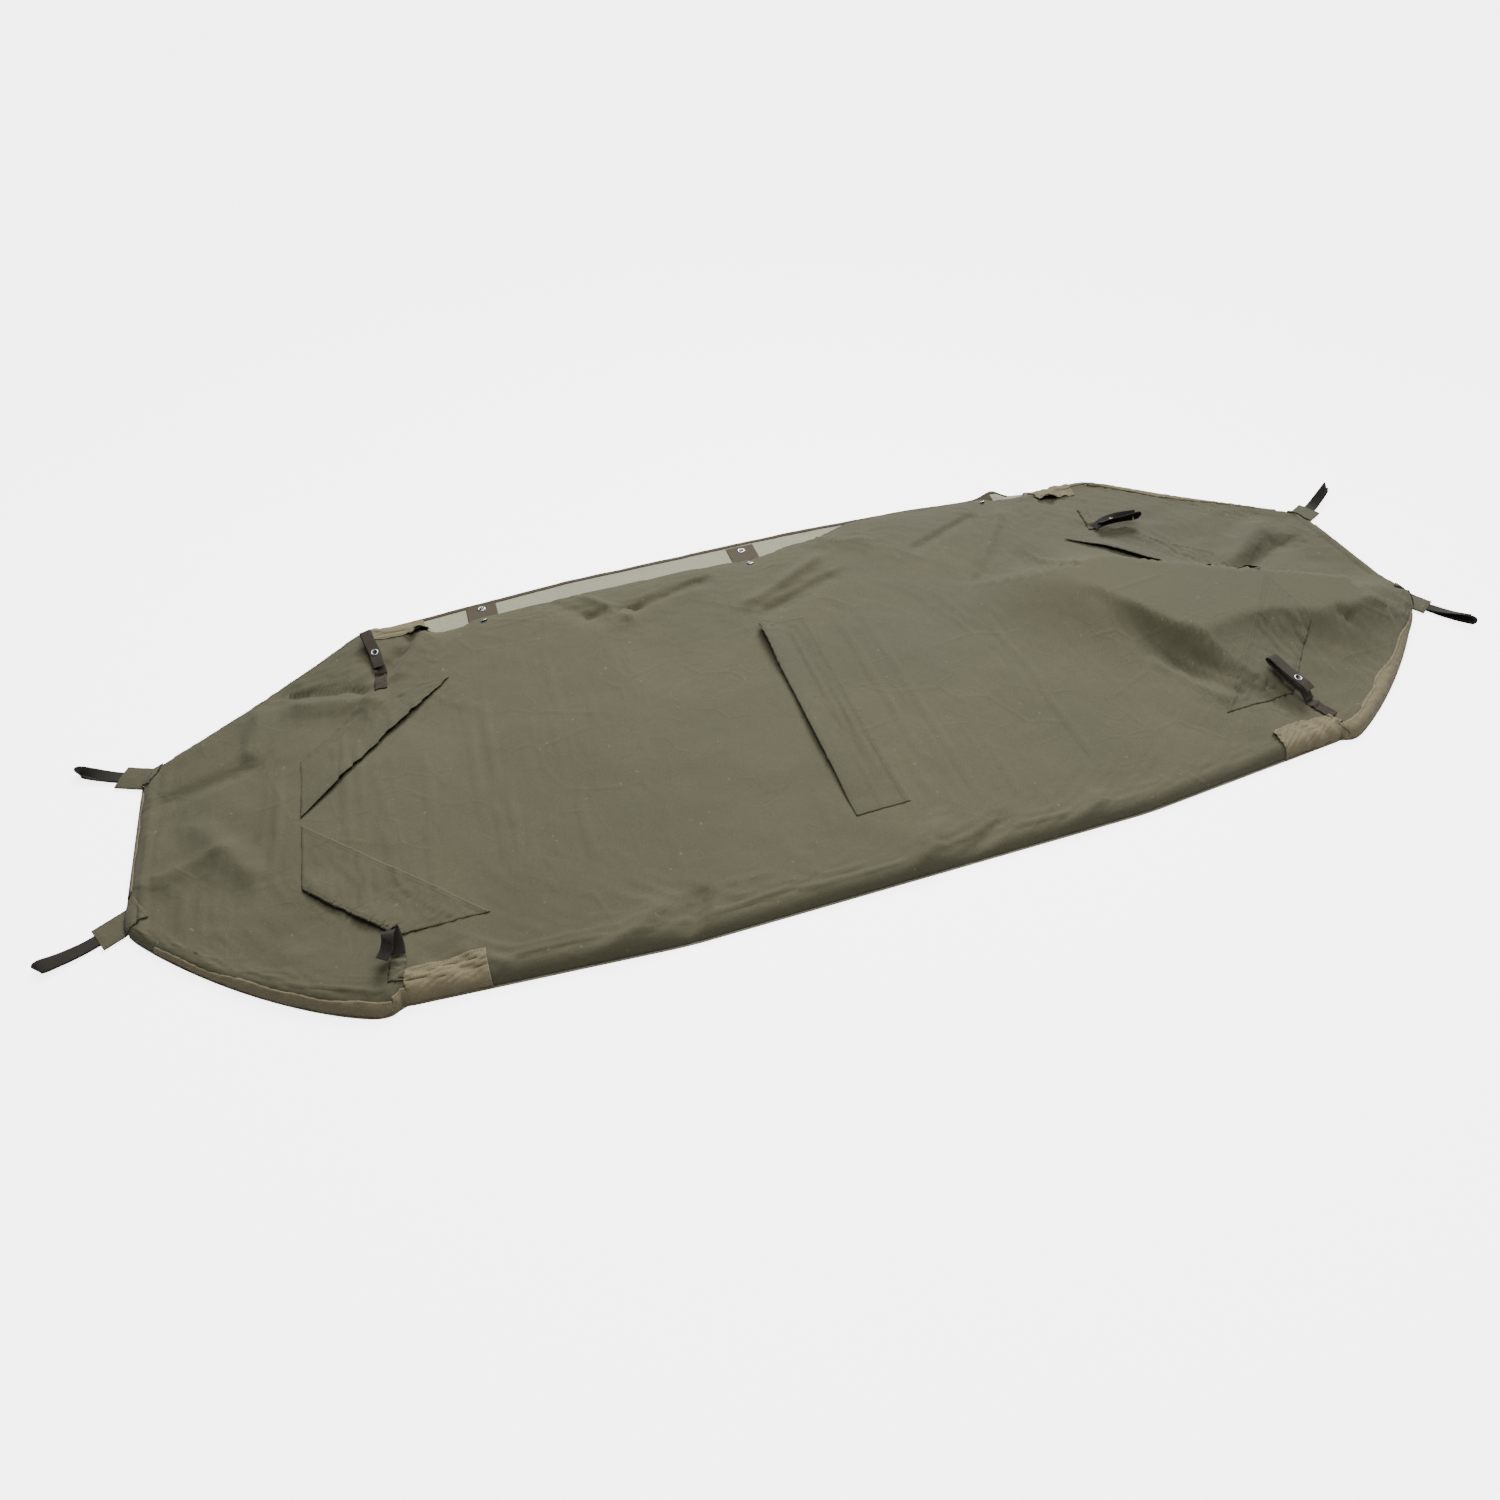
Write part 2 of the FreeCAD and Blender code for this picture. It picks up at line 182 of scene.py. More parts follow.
class CoverColours(bpy.types.PropertyGroup):
    """Colours of the cloth, tape and metal."""

    olive: paint("Olive", "Colour of the upper cloth", (0.060, 0.056, 0.031))
    faded: paint("Faded", "Colour of the upper cloth where it's rubbed", (0.079, 0.074, 0.043))
    inside: paint("Inside", "Coated inner side of the lower cloth", (0.250, 0.246, 0.175))
    tan: paint("Tan", "Colour of the lower cloth, hems and patches", (0.132, 0.112, 0.064))
    binding: paint("Binding", "Colour of the mouth's binding", (0.050, 0.040, 0.024))
    webbing: paint("Webbing", "Colour of the end loops", (0.014, 0.012, 0.008))
    strap: paint("Strap", "Colour of the snap straps", (0.023, 0.018, 0.011))
    metal: paint("Metal", "Colour of the press studs", (0.480, 0.480, 0.500))


# ------------------------------------------------------------------ shape helpers


def mix(a, b, t):
    return a + (b - a) * t


def ease(t):
    t = min(1.0, max(0.0, t))
    return t * t * (3 - 2 * t)


def bump(t):
    """1 at t = 0, fading to 0 by about t = 2."""
    return math.exp(-t * t)


def along(table, x):
    """A smooth value read from a table of (x, value)."""
    if x <= table[0][0]:
        return table[0][1]
    for (x0, v0), (x1, v1) in zip(table, table[1:]):
        if x <= x1:
            return mix(v0, v1, ease((x - x0) / (x1 - x0)))
    return table[-1][1]


def sharp_half_width(x):
    a = abs(x)
    if a <= BELLY_X:
        return HALF_WIDTH
    if a <= SHOULDER_X:
        return mix(HALF_WIDTH, SHOULDER_Y, (a - BELLY_X) / (SHOULDER_X - BELLY_X))
    width = mix(SHOULDER_Y, END_HALF_WIDTH, (a - SHOULDER_X) / (HALF_LENGTH - SHOULDER_X))
    if a > ROUND_FROM:
        a = min(a, HALF_LENGTH)
        width = min(width, ROUND_Y + math.sqrt(max(0.0, ROUND_R**2 - (a - ROUND_X) ** 2)))
    return width


def half_width(x, side):
    """How far the lower cloth reaches at x, on the far side for 1 and the near side for -1.
    The wide corners are soft, the near tapers bow out and the mouth's edge sags out a little."""
    share = min(1.0, max(0.0, (abs(x) - BOW_FROM) / BOW_RUN))
    bow = TAPER_BOWS[side, x > 0] * math.sin(math.pi * share) ** 0.55
    if side > 0:
        bow += MOUTH_SAG * bump((x - 0.08) / 0.28)
    if abs(x) > HALF_LENGTH - 3 * CORNER_SOFTNESS:
        return sharp_half_width(x) + bow
    steps = [sharp_half_width(x + CORNER_SOFTNESS * k) for k in (-1, -0.5, 0, 0.5, 1)]
    return sum(steps) / len(steps) + bow


def upper_far(x):
    """Where the upper cloth's far edge is at x."""
    if MOUTH_EDGE[0][0] < x < MOUTH_EDGE[-1][0]:
        return min(along(MOUTH_EDGE, x), half_width(x, 1) - 0.004)
    return half_width(x, 1) - 0.004


def upper_near(x):
    return half_width(x, -1) - 0.003


def mouth_share(x):
    """1 where the far edge is open, 0 where it's sewn down."""
    return ease((x - MOUTH_X[0] + 0.03) / 0.06) * ease((MOUTH_X[1] + 0.03 - x) / 0.06)


def fold_height(x, y):
    """The height that the soft folds add at a place."""
    total = 0.0
    for x0, y0, x1, y1, height, left, right in FOLDS:
        dx, dy = x1 - x0, y1 - y0
        length = math.hypot(dx, dy)
        run = ((x - x0) * dx + (y - y0) * dy) / length
        off = (dx * (y - y0) - dy * (x - x0)) / length
        width = left if off > 0 else right
        if abs(off) > 3 * width or run < -2 * width or run > length + 2 * width:
            continue
        past = max(0.0, -run, run - length)
        total += height * bump(off / width) * bump(past / (1.1 * width))
    return total * FOLD_FIRMNESS


def resting_height(x, y, loft, roll):
    """The height of the upper cloth before it settles."""
    open_share = mouth_share(x)
    wander = noise.noise(Vector((x * 5, y * 5, 2.0)))
    near = max(0.0, y + upper_near(x)) * 0.9
    far = max(0.0, upper_far(x) - y) * 0.9
    end = max(0.0, HALF_LENGTH - 0.004 - abs(x))
    tight = roll * (1 + 0.35 * wander)
    sides = []
    for distance, width in ((near, tight), (far, mix(tight, 0.080, open_share)), (end, tight)):
        reach = min(1.0, distance / width)
        sides.append(math.sqrt(1 - (1 - reach) ** 2))
    rise = sides[0] * sides[1] * sides[2]
    soft = 0.0035 * noise.noise(Vector((x * 3.1, y * 3.7, 5.0)))
    soft += 0.0016 * noise.noise(Vector((x * 9.0, y * 11.0, 9.0)))
    foot = mix(0.0022, 0.0050, open_share * (1 - min(1.0, far / 0.05)))
    foot += open_share * (
        0.0045 * bump((x - 0.50) / 0.06) + 0.0040 * bump((x - 0.30) / 0.09)
    ) * bump(far / 0.05)
    height = foot + rise * (loft + soft + fold_height(x, y))
    return max(0.0022, height)


def crease(x, y, scale, seed, sharp=6.0):
    """A thin crease line at the zero of a noise field, from 0 to 1."""
    value = noise.noise(Vector((x * scale, y * scale * 1.2, seed)))
    return math.exp(-abs(value) * sharp)


def facets(x, y, size, seed):
    """Flat three-cornered facets with sharp creases between them, as in crumpled cloth, from -1 to 1."""
    drift = Vector((x / size * 0.6, y / size * 0.6, seed))
    across = x / size + 0.9 * noise.noise(drift)
    up = y / size + 0.9 * noise.noise(drift + Vector((0, 0, 40)))
    i, j = math.floor(across), math.floor(up)
    a, b = across - i, up - j

    def knot(di, dj):
        return noise.cell(Vector((i + di + 0.5, j + dj + 0.5, seed + 0.5)))

    if (i + j) % 2:
        if a + b < 1:
            return knot(0, 0) * (1 - a - b) + knot(1, 0) * a + knot(0, 1) * b
        return knot(1, 1) * (a + b - 1) + knot(0, 1) * (1 - a) + knot(1, 0) * (1 - b)
    if a > b:
        return knot(0, 0) * (1 - a) + knot(1, 0) * (a - b) + knot(1, 1) * b
    return knot(0, 0) * (1 - b) + knot(0, 1) * (b - a) + knot(1, 1) * a


def new_object(name, mesh):
    obj = bpy.data.objects.new(name, mesh)
    bpy.context.collection.objects.link(obj)
    return obj


def grid_mesh(name, columns, rows, place, flat=None):
    """A mesh of columns by rows faces.

    place gives a point for u, v from 0 to 1; flat gives its UV in metres.
    """
    bm = bmesh.new()
    bmesh.ops.create_grid(bm, x_segments=columns, y_segments=rows, size=1.0)
    uv_layer = bm.loops.layers.uv.new("UVMap")
    spots = {v: ((v.co.x + 1) / 2, (v.co.y + 1) / 2) for v in bm.verts}
    for v, (u, t) in spots.items():
        v.co = Vector(place(u, t))
    for face in bm.faces:
        face.smooth = True
        for loop in face.loops:
            u, t = spots[loop.vert]
            loop[uv_layer].uv = flat(u, t) if flat else loop.vert.co.xy
    mesh = bpy.data.meshes.new(name)
    bm.to_mesh(mesh)
    bm.free()
    return mesh


def baked(obj):
    """The object with its modifiers made part of its mesh."""
    graph = bpy.context.evaluated_depsgraph_get()
    graph.update()
    mesh = bpy.data.meshes.new_from_object(obj.evaluated_get(graph))
    obj.modifiers.clear()
    obj.data = mesh
    return obj


def thickened(obj, thickness, materials, offset=-1.0):
    """Gives a sheet its thickness. The first material is for the front, the second for the back and rim."""
    obj.data.materials.clear()
    for material in materials:
        obj.data.materials.append(material)
    solid = obj.modifiers.new("Thickness", "SOLIDIFY")
    solid.thickness = thickness
    solid.offset = offset
    solid.use_even_offset = False
    if len(materials) > 1:
        solid.material_offset = 1
        solid.material_offset_rim = 1
    return baked(obj)


def flat_area(mesh):
    """The area of a mesh's faces in its UV map, which is its cut in metres."""
    uv = mesh.uv_layers["UVMap"].data
    area = 0.0
    for face in mesh.polygons:
        points = [uv[i].uv for i in face.loop_indices]
        area += abs(sum(a.cross(b) for a, b in zip(points, points[1:] + points[:1]))) / 2
    return area


def flat_size(mesh):
    uv = [loop.uv for loop in mesh.uv_layers["UVMap"].data]
    xs = [p.x for p in uv]
    ys = [p.y for p in uv]
    return max(xs) - min(xs), max(ys) - min(ys)


def on_cloth(x, y, lift):
    """The point lift above the cloth at x, y, measured square to it."""
    hit = made["upper"].ray_cast(Vector((x, y, 0.3)), Vector((0, 0, -1)))
    if hit[0] is None:
        return Vector((x, y, 0.0014 + lift))
    return hit[0] + hit[1] * lift


def over_roll(place, lift, length):
    """The cut of a band that climbs over the edge: its width is measured along the cloth it lies on."""
    steps = 20
    reach = {}

    def flat(u, t):
        if u not in reach:
            spots = [on_cloth(*place(u, k / steps), lift(u, k / steps)) for k in range(steps + 1)]
            reach[u] = [0.0]
            for a, b in zip(spots, spots[1:]):
                reach[u].append(reach[u][-1] + (b - a).length)
        k = min(steps - 1, int(t * steps))
        return length * u, mix(reach[u][k], reach[u][k + 1], t * steps - k)

    return flat


def along_roll(place, lift, width):
    """The cut of a tape or tab that climbs over the edge, its length measured along the cloth."""
    crosswise = over_roll(lambda u, t: place(t, u), lambda u, t: lift(t, u), width)
    return lambda u, t: crosswise(t, u)[::-1]


def laid(name, columns, rows, place, lift, materials, thickness, flat):
    """A piece of cloth laid on the cover: place gives x, y and lift gives its height above the cloth."""

    def point(u, t):
        x, y = place(u, t)
        return on_cloth(x, y, lift(u, t))

    mesh = grid_mesh(name, columns, rows, point, flat)
    obj = new_object(name, mesh)
    face_up(obj)
    made["cut_" + name] = (flat_size(obj.data), flat_area(obj.data))
    return thickened(obj, thickness, materials)


def face_up(obj):
    """Turns a sheet over if most of it faces down."""
    if sum(p.normal.z * p.area for p in obj.data.polygons) < 0:
        obj.data.flip_normals()


def smooth_path(points, u):
    """A point on a smooth curve through points, u from 0 to 1, and the direction there."""
    count = len(points) - 1
    spot = min(count - 1e-6, max(0.0, u * count))
    k = int(spot)
    t = spot - k
    p1, p2 = Vector(points[k]), Vector(points[k + 1])
    p0 = Vector(points[k - 1]) if k else p1 * 2 - p2
    p3 = Vector(points[k + 2]) if k + 2 <= count else p2 * 2 - p1
    a, b, c = (p2 - p0) / 2, p0 - 2.5 * p1 + 2 * p2 - p3 / 2, (3 * p1 - p0 - 3 * p2 + p3) / 2
    place = p1 + t * (a + t * (b + t * c))
    return place, (a + t * (2 * b + 3 * t * c)).normalized()


def ribbon(name, path, width, thickness, materials, twist=None, cup=0.0, segments=60):
    """A flat band along a smooth path. twist turns its width about the path, in degrees along u."""
    reach = [smooth_path(path, k / segments)[0] for k in range(segments + 1)]
    run = [0.0]
    for a, b in zip(reach, reach[1:]):
        run.append(run[-1] + (b - a).length)
    heading = (Vector(path[-1]) - Vector(path[0])).to_2d()
    if heading.length < 0.4 * max((Vector(p) - Vector(path[0])).to_2d().length for p in path):
        far = max(path, key=lambda p: (Vector(p) - Vector(path[0])).to_2d().length)
        heading = (Vector(far) - Vector(path[0])).to_2d()
    heading.normalize()
    side = Vector((-heading.y, heading.x, 0))

    def point(u, t):
        centre, tangent = smooth_path(path, u)
        across = (side - tangent * side.dot(tangent)).normalized()
        if twist:
            across = Matrix.Rotation(math.radians(twist(u)), 3, tangent) @ across
        out = tangent.cross(across)
        s = 2 * t - 1
        return centre + across * (width / 2 * s) + out * (cup * s * s)

    def flat(u, t):
        return run[round(u * segments)], width * t

    obj = new_object(name, grid_mesh(name, segments, 8, point, flat))
    thickened(obj, thickness, materials, offset=0.0)
    return obj


def turned(name, profile, place, tilt, materials, material_of=None, segments=32):
    """A round piece: profile is (radius, height) from the axis at the bottom to the axis at the top."""
    bm = bmesh.new()
    ring = [bm.verts.new((r, 0, h)) for r, h in profile]
    edges = [bm.edges.new(pair) for pair in zip(ring, ring[1:])]
    bmesh.ops.spin(
        bm, geom=ring + edges, cent=(0, 0, 0), axis=(0, 0, 1), angle=2 * math.pi,
        steps=segments, use_merge=True,
    )
    bmesh.ops.remove_doubles(bm, verts=bm.verts, dist=1e-6)
    bmesh.ops.recalc_face_normals(bm, faces=bm.faces)
    for face in bm.faces:
        face.smooth = True
        if material_of:
            face.material_index = material_of(face.calc_center_median())
    turn = Vector((0, 0, 1)).rotation_difference(Vector(tilt)).to_matrix().to_4x4()
    bmesh.ops.transform(bm, matrix=Matrix.Translation(place) @ turn, verts=bm.verts)
    mesh = bpy.data.meshes.new(name)
    bm.to_mesh(mesh)
    bm.free()
    for material in materials:
        mesh.materials.append(material)
    return new_object(name, mesh)


def stitches(name, points, pitch, material, length=0.0026, radius=0.00032):
    """A row of thread stitches through points, each a small slim bead."""
    bm = bmesh.new()
    spots = []
    left = 0.0
    for a, b in zip(points, points[1:]):
        span = (b - a).length
        while left < span:
            spots.append((a.lerp(b, left / span), (b - a).normalized()))
            left += pitch
        left -= span
    for spot, heading in spots:
        bead = bmesh.ops.create_icosphere(bm, subdivisions=1, radius=1.0)["verts"]
        turn = Vector((1, 0, 0)).rotation_difference(heading).to_matrix().to_4x4()
        size = Matrix.Diagonal((length / 2, radius, radius, 1))
        bmesh.ops.transform(bm, matrix=Matrix.Translation(spot) @ turn @ size, verts=bead)
    for face in bm.faces:
        face.smooth = True
    mesh = bpy.data.meshes.new(name)
    bm.to_mesh(mesh)
    bm.free()
    mesh.materials.append(material)
    return new_object(name, mesh)


# ------------------------------------------------------------------ materials


def node_group(name, inputs, outputs):
    """A new shader node group with named sockets."""
    group = bpy.data.node_groups.new(name, "ShaderNodeTree")
    for label, kind, value in inputs:
        socket = group.interface.new_socket(label, in_out="INPUT", socket_type=kind)
        if value is not None:
            socket.default_value = value
    for label, kind in outputs:
        group.interface.new_socket(label, in_out="OUTPUT", socket_type=kind)
    return group, group.nodes.new("NodeGroupInput"), group.nodes.new("NodeGroupOutput")


def math_node(nodes, links, operation, a, b=None, clamp=False):
    node = nodes.new("ShaderNodeMath")
    node.operation = operation
    node.use_clamp = clamp
    for socket, value in zip(node.inputs, (a, b)):
        if value is None:
            continue
        if isinstance(value, (int, float)):
            socket.default_value = value
        else:
            links.new(value, socket)
    return node.outputs[0]


def noise_node(nodes, links, vector, scale, detail=2.0, roughness=0.5, distortion=0.0):
    node = nodes.new("ShaderNodeTexNoise")
    node.inputs["Scale"].default_value = scale
    node.inputs["Detail"].default_value = detail
    node.inputs["Roughness"].default_value = roughness
    node.inputs["Distortion"].default_value = distortion
    links.new(vector, node.inputs["Vector"])
    return node


def ramp_node(nodes, links, value, low, high):
    node = nodes.new("ShaderNodeMapRange")
    node.interpolation_type = "SMOOTHSTEP"
    node.inputs["From Min"].default_value = low
    node.inputs["From Max"].default_value = high
    links.new(value, node.inputs["Value"])
    return node.outputs[0]


def mix_colour(nodes, links, factor, a, b, mode="MIX"):
    node = nodes.new("ShaderNodeMix")
    node.data_type = "RGBA"
    node.blend_type = mode
    for socket, value in ((node.inputs[0], factor), (node.inputs[6], a), (node.inputs[7], b)):
        if isinstance(value, (int, float)):
            socket.default_value = value
        elif isinstance(value, tuple):
            socket.default_value = value
        else:
            links.new(value, socket)
    return node.outputs[2]


def weave_group():
    """A plain weave that follows the cloth's own UV, in metres."""
    group, enter, leave = node_group(
        "plain_weave",
        [("Thread", "NodeSocketFloat", 0.0007)],
        [("Height", "NodeSocketFloat"), ("Thread mask", "NodeSocketFloat")],
    )
    nodes, links = group.nodes, group.links
    uv = nodes.new("ShaderNodeTexCoord").outputs["UV"]
    parts = nodes.new("ShaderNodeSeparateXYZ")
    links.new(uv, parts.inputs[0])
    turns = math_node(nodes, links, "DIVIDE", math.pi, enter.outputs["Thread"])
    waves = []
    for axis in ("X", "Y"):
        phase = math_node(nodes, links, "MULTIPLY", parts.outputs[axis], turns)
        waves.append(math_node(nodes, links, "SINE", phase))
    both = math_node(nodes, links, "MULTIPLY", waves[0], waves[1])
    squares = [math_node(nodes, links, "ABSOLUTE", wave) for wave in waves]
    ribs = math_node(nodes, links, "MAXIMUM", squares[0], squares[1])
    height = math_node(nodes, links, "MULTIPLY_ADD", both, 0.35)
    links.new(ribs, height.node.inputs[2])
    links.new(height, leave.inputs["Height"])
    links.new(squares[0], leave.inputs["Thread mask"])
    return group


def wear_group():
    """Soft colour patches, lint and crease lines of cloth that has been folded and used."""
    group, enter, leave = node_group(
        "used_cloth",
        [
            ("Colour", "NodeSocketColor", (0.2, 0.2, 0.1, 1)),
            ("Faded", "NodeSocketColor", (0.3, 0.3, 0.2, 1)),
            ("Fading", "NodeSocketFloat", 0.5),
            ("Lint", "NodeSocketFloat", 0.3),
        ],
        [
            ("Colour", "NodeSocketColor"), ("Roughness", "NodeSocketFloat"),
            ("Height", "NodeSocketFloat")
        ],
    )
    nodes, links = group.nodes, group.links
    place = nodes.new("ShaderNodeTexCoord").outputs["Object"]
    patches = noise_node(nodes, links, place, 3.2, 5.0, 0.62, 0.4)
    soft = ramp_node(nodes, links, patches.outputs["Fac"], 0.34, 0.68)
    share = math_node(nodes, links, "MULTIPLY", soft, enter.outputs["Fading"])
    colour = mix_colour(nodes, links, share, enter.outputs["Colour"], enter.outputs["Faded"])
    grain = noise_node(nodes, links, place, 420.0, 3.0, 0.7)
    speck = ramp_node(nodes, links, grain.outputs["Fac"], 0.30, 0.72)
    shade = math_node(nodes, links, "MULTIPLY_ADD", speck, 0.20)
    shade.node.inputs[2].default_value = 0.90
    tint = nodes.new("ShaderNodeCombineColor")
    for channel in ("Red", "Green", "Blue"):
        links.new(shade, tint.inputs[channel])
    colour = mix_colour(nodes, links, 1.0, colour, tint.outputs[0], "MULTIPLY")
    fibres = noise_node(nodes, links, place, 95.0, 1.0, 0.5)
    lint = ramp_node(nodes, links, fibres.outputs["Fac"], 0.735, 0.80)
    lint = math_node(nodes, links, "MULTIPLY", lint, enter.outputs["Lint"])
    colour = mix_colour(nodes, links, lint, colour, (0.24, 0.23, 0.19, 1))
    heights = []
    for scale, depth, thin in ((9.0, 0.40, 0.060), (23.0, 0.22, 0.090)):
        facet = nodes.new("ShaderNodeTexVoronoi")
        facet.feature = "DISTANCE_TO_EDGE"
        facet.inputs["Scale"].default_value = scale
        links.new(place, facet.inputs["Vector"])
        ridge = ramp_node(nodes, links, facet.outputs["Distance"], thin, 0.0)
        where = noise_node(nodes, links, place, scale * 0.6, 1.0)
        where = ramp_node(nodes, links, where.outputs["Fac"], 0.48, 0.62)
        ridge = math_node(nodes, links, "MULTIPLY", ridge, where)
        heights.append(math_node(nodes, links, "MULTIPLY", ridge, depth))
    creases = math_node(nodes, links, "ADD", heights[0], heights[1])
    crumple = noise_node(nodes, links, place, 34.0, 4.0, 0.55, 0.5)
    height = math_node(nodes, links, "MULTIPLY_ADD", crumple.outputs["Fac"], 0.8)
    links.new(creases, height.node.inputs[2])
    rough = math_node(nodes, links, "MULTIPLY_ADD", soft, 0.10)
    rough.node.inputs[2].default_value = 0.80
    links.new(colour, leave.inputs["Colour"])
    links.new(rough, leave.inputs["Roughness"])
    links.new(height, leave.inputs["Height"])
    return group


def cloth_material(
    name, colour, faded, fading=0.7, lint=0.18, thread=0.0007, crease_depth=0.0011,
    weave_depth=0.00008, sheen=0.05
):
    """A woven cloth: wear and creases over the whole piece, and a fine weave that follows it."""
    material = bpy.data.materials.new(name)
    material.use_nodes = True
    nodes, links = material.node_tree.nodes, material.node_tree.links
    shader = nodes["Principled BSDF"]
    shader.inputs["Sheen Weight"].default_value = sheen
    shader.inputs["Sheen Roughness"].default_value = 0.6
    shader.inputs["Specular IOR Level"].default_value = 0.25
    wear = nodes.new("ShaderNodeGroup")
    wear.node_tree = bpy.data.node_groups.get("used_cloth") or wear_group()
    wear.inputs["Colour"].default_value = (*colour, 1)
    wear.inputs["Faded"].default_value = (*faded, 1)
    wear.inputs["Fading"].default_value = fading
    wear.inputs["Lint"].default_value = lint
    weave = nodes.new("ShaderNodeGroup")
    weave.node_tree = bpy.data.node_groups.get("plain_weave") or weave_group()
    weave.inputs["Thread"].default_value = thread
    links.new(wear.outputs["Colour"], shader.inputs["Base Color"])
    links.new(wear.outputs["Roughness"], shader.inputs["Roughness"])
    folds = nodes.new("ShaderNodeBump")
    folds.inputs["Distance"].default_value = crease_depth
    links.new(wear.outputs["Height"], folds.inputs["Height"])
    threads = nodes.new("ShaderNodeBump")
    threads.inputs["Distance"].default_value = weave_depth
    links.new(weave.outputs["Height"], threads.inputs["Height"])
    links.new(folds.outputs["Normal"], threads.inputs["Normal"])
    links.new(threads.outputs["Normal"], shader.inputs["Normal"])
    return material


def metal_material(name, colour, metallic, roughness):
    """Press-stud metal with fine scratches and a dulled finish."""
    material = bpy.data.materials.new(name)
    material.use_nodes = True
    nodes, links = material.node_tree.nodes, material.node_tree.links
    shader = nodes["Principled BSDF"]
    shader.inputs["Metallic"].default_value = metallic
    place = nodes.new("ShaderNodeTexCoord").outputs["Object"]
    marks = noise_node(nodes, links, place, 900.0, 3.0, 0.6)
    dull = ramp_node(nodes, links, marks.outputs["Fac"], 0.3, 0.7)
    rough = math_node(nodes, links, "MULTIPLY_ADD", dull, 0.18)
    rough.node.inputs[2].default_value = roughness
    links.new(rough, shader.inputs["Roughness"])
    dark = tuple(c * 0.72 for c in colour)
    tone = mix_colour(nodes, links, dull, (*colour, 1), (*dark, 1))
    links.new(tone, shader.inputs["Base Color"])
    scratches = nodes.new("ShaderNodeBump")
    scratches.inputs["Distance"].default_value = 0.00004
    links.new(marks.outputs["Fac"], scratches.inputs["Height"])
    links.new(scratches.outputs["Normal"], shader.inputs["Normal"])
    return material


def floor_material():
    material = bpy.data.materials.new("studio_floor")
    material.use_nodes = True
    nodes, links = material.node_tree.nodes, material.node_tree.links
    shader = nodes["Principled BSDF"]
    shader.inputs["Roughness"].default_value = 0.95
    shader.inputs["Specular IOR Level"].default_value = 0.0
    shader.inputs["Emission Color"].default_value = (1, 1, 1, 1)
    path = nodes.new("ShaderNodeLightPath")
    seen = math_node(nodes, links, "MULTIPLY", path.outputs["Is Camera Ray"], 4.0)
    links.new(seen, shader.inputs["Emission Strength"])
    place = nodes.new("ShaderNodeTexCoord").outputs["Object"]
    mottling = noise_node(nodes, links, place, 0.8, 1.0)
    tone = mix_colour(
        nodes, links, mottling.outputs["Fac"], (0.86, 0.86, 0.86, 1), (0.90, 0.90, 0.90, 1)
    )
    links.new(tone, shader.inputs["Base Color"])
    return material


def finish(name):
    """The finish of that name, made the first time it's asked for."""
    colours = bpy.context.scene.cover_colours
    found = bpy.data.materials.get(name)
    if found:
        return found
    olive, faded, tan = tuple(colours.olive), tuple(colours.faded), tuple(colours.tan)
    light_tan = tuple(c * 1.18 for c in tan)
    if name == "olive_canvas":
        return cloth_material(name, olive, faded)
    if name == "strip_canvas":
        return cloth_material(name, tuple(c * 0.95 for c in olive), tuple(c * 0.93 for c in faded))
    if name == "tan_canvas":
        return cloth_material(name, tan, light_tan, fading=0.7, crease_depth=0.0009)
    if name == "coated_inside":
        inside = tuple(colours.inside)
        return cloth_material(
            name, inside, tuple(c * 1.12 for c in inside), crease_depth=0.0016, sheen=0.0
        )
    if name == "binding_tape":
        binding = tuple(colours.binding)
        return cloth_material(name, binding, tuple(c * 1.2 for c in binding), thread=0.0009)
    if name == "dark_webbing":
        web = tuple(colours.webbing)
        return cloth_material(
            name, web, tuple(c * 1.7 for c in web), lint=0.05, thread=0.0013, weave_depth=0.00035
        )
    if name == "brown_webbing":
        web = tuple(colours.strap)
        return cloth_material(
            name, web, tuple(c * 1.6 for c in web), lint=0.05, thread=0.0013, weave_depth=0.00035
        )
    if name == "thread":
        return cloth_material(
            name, (0.045, 0.041, 0.026), (0.065, 0.060, 0.040), lint=0.0, crease_depth=0.0001
        )
    if name == "bright_metal":
        return metal_material(name, tuple(colours.metal), 1.0, 0.22)
    # Near-black metal set into the hollows of the studs, caps and rings: painted shade in their holes,
    # grooves and recesses.
    if name == "painted_shade_metal":
        return metal_material(name, (0.02, 0.02, 0.022), 0.6, 0.4)
    raise ValueError("no finish is named " + name)


# ------------------------------------------------------------------ cutting the cloth into pieces


def going_left(obj):
    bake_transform(obj)


def going_right(obj):
    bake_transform(obj)


def cut_mesh(source, name, planes, extra_x=(), extra_y=()):
    """A copy of a mesh kept on the inner side of each plane, with more lines across at the given places."""
    bm = bmesh.new()
    bm.from_mesh(source)

    def slice_at(place, normal, clear):
        geometry = list(bm.verts) + list(bm.edges) + list(bm.faces)
        bmesh.ops.bisect_plane(
            bm, geom=geometry, dist=1e-6, plane_co=place, plane_no=normal, clear_outer=clear
        )

    for place, normal in planes:
        slice_at(place, normal, True)
    for x in extra_x:
        slice_at((x, 0, 0), (1, 0, 0), False)
    for y in extra_y:
        slice_at((0, y, 0), (0, 1, 0), False)
    mesh = bpy.data.meshes.new(name)
    bm.to_mesh(mesh)
    bm.free()
    return mesh


def drop_faces(mesh, unwanted):
    """Removes the faces whose middle is unwanted."""
    bm = bmesh.new()
    bm.from_mesh(mesh)
    gone = [f for f in bm.faces if unwanted(f.calc_center_median())]
    bmesh.ops.delete(bm, geom=gone, context="FACES")
    bm.to_mesh(mesh)
    bm.free()


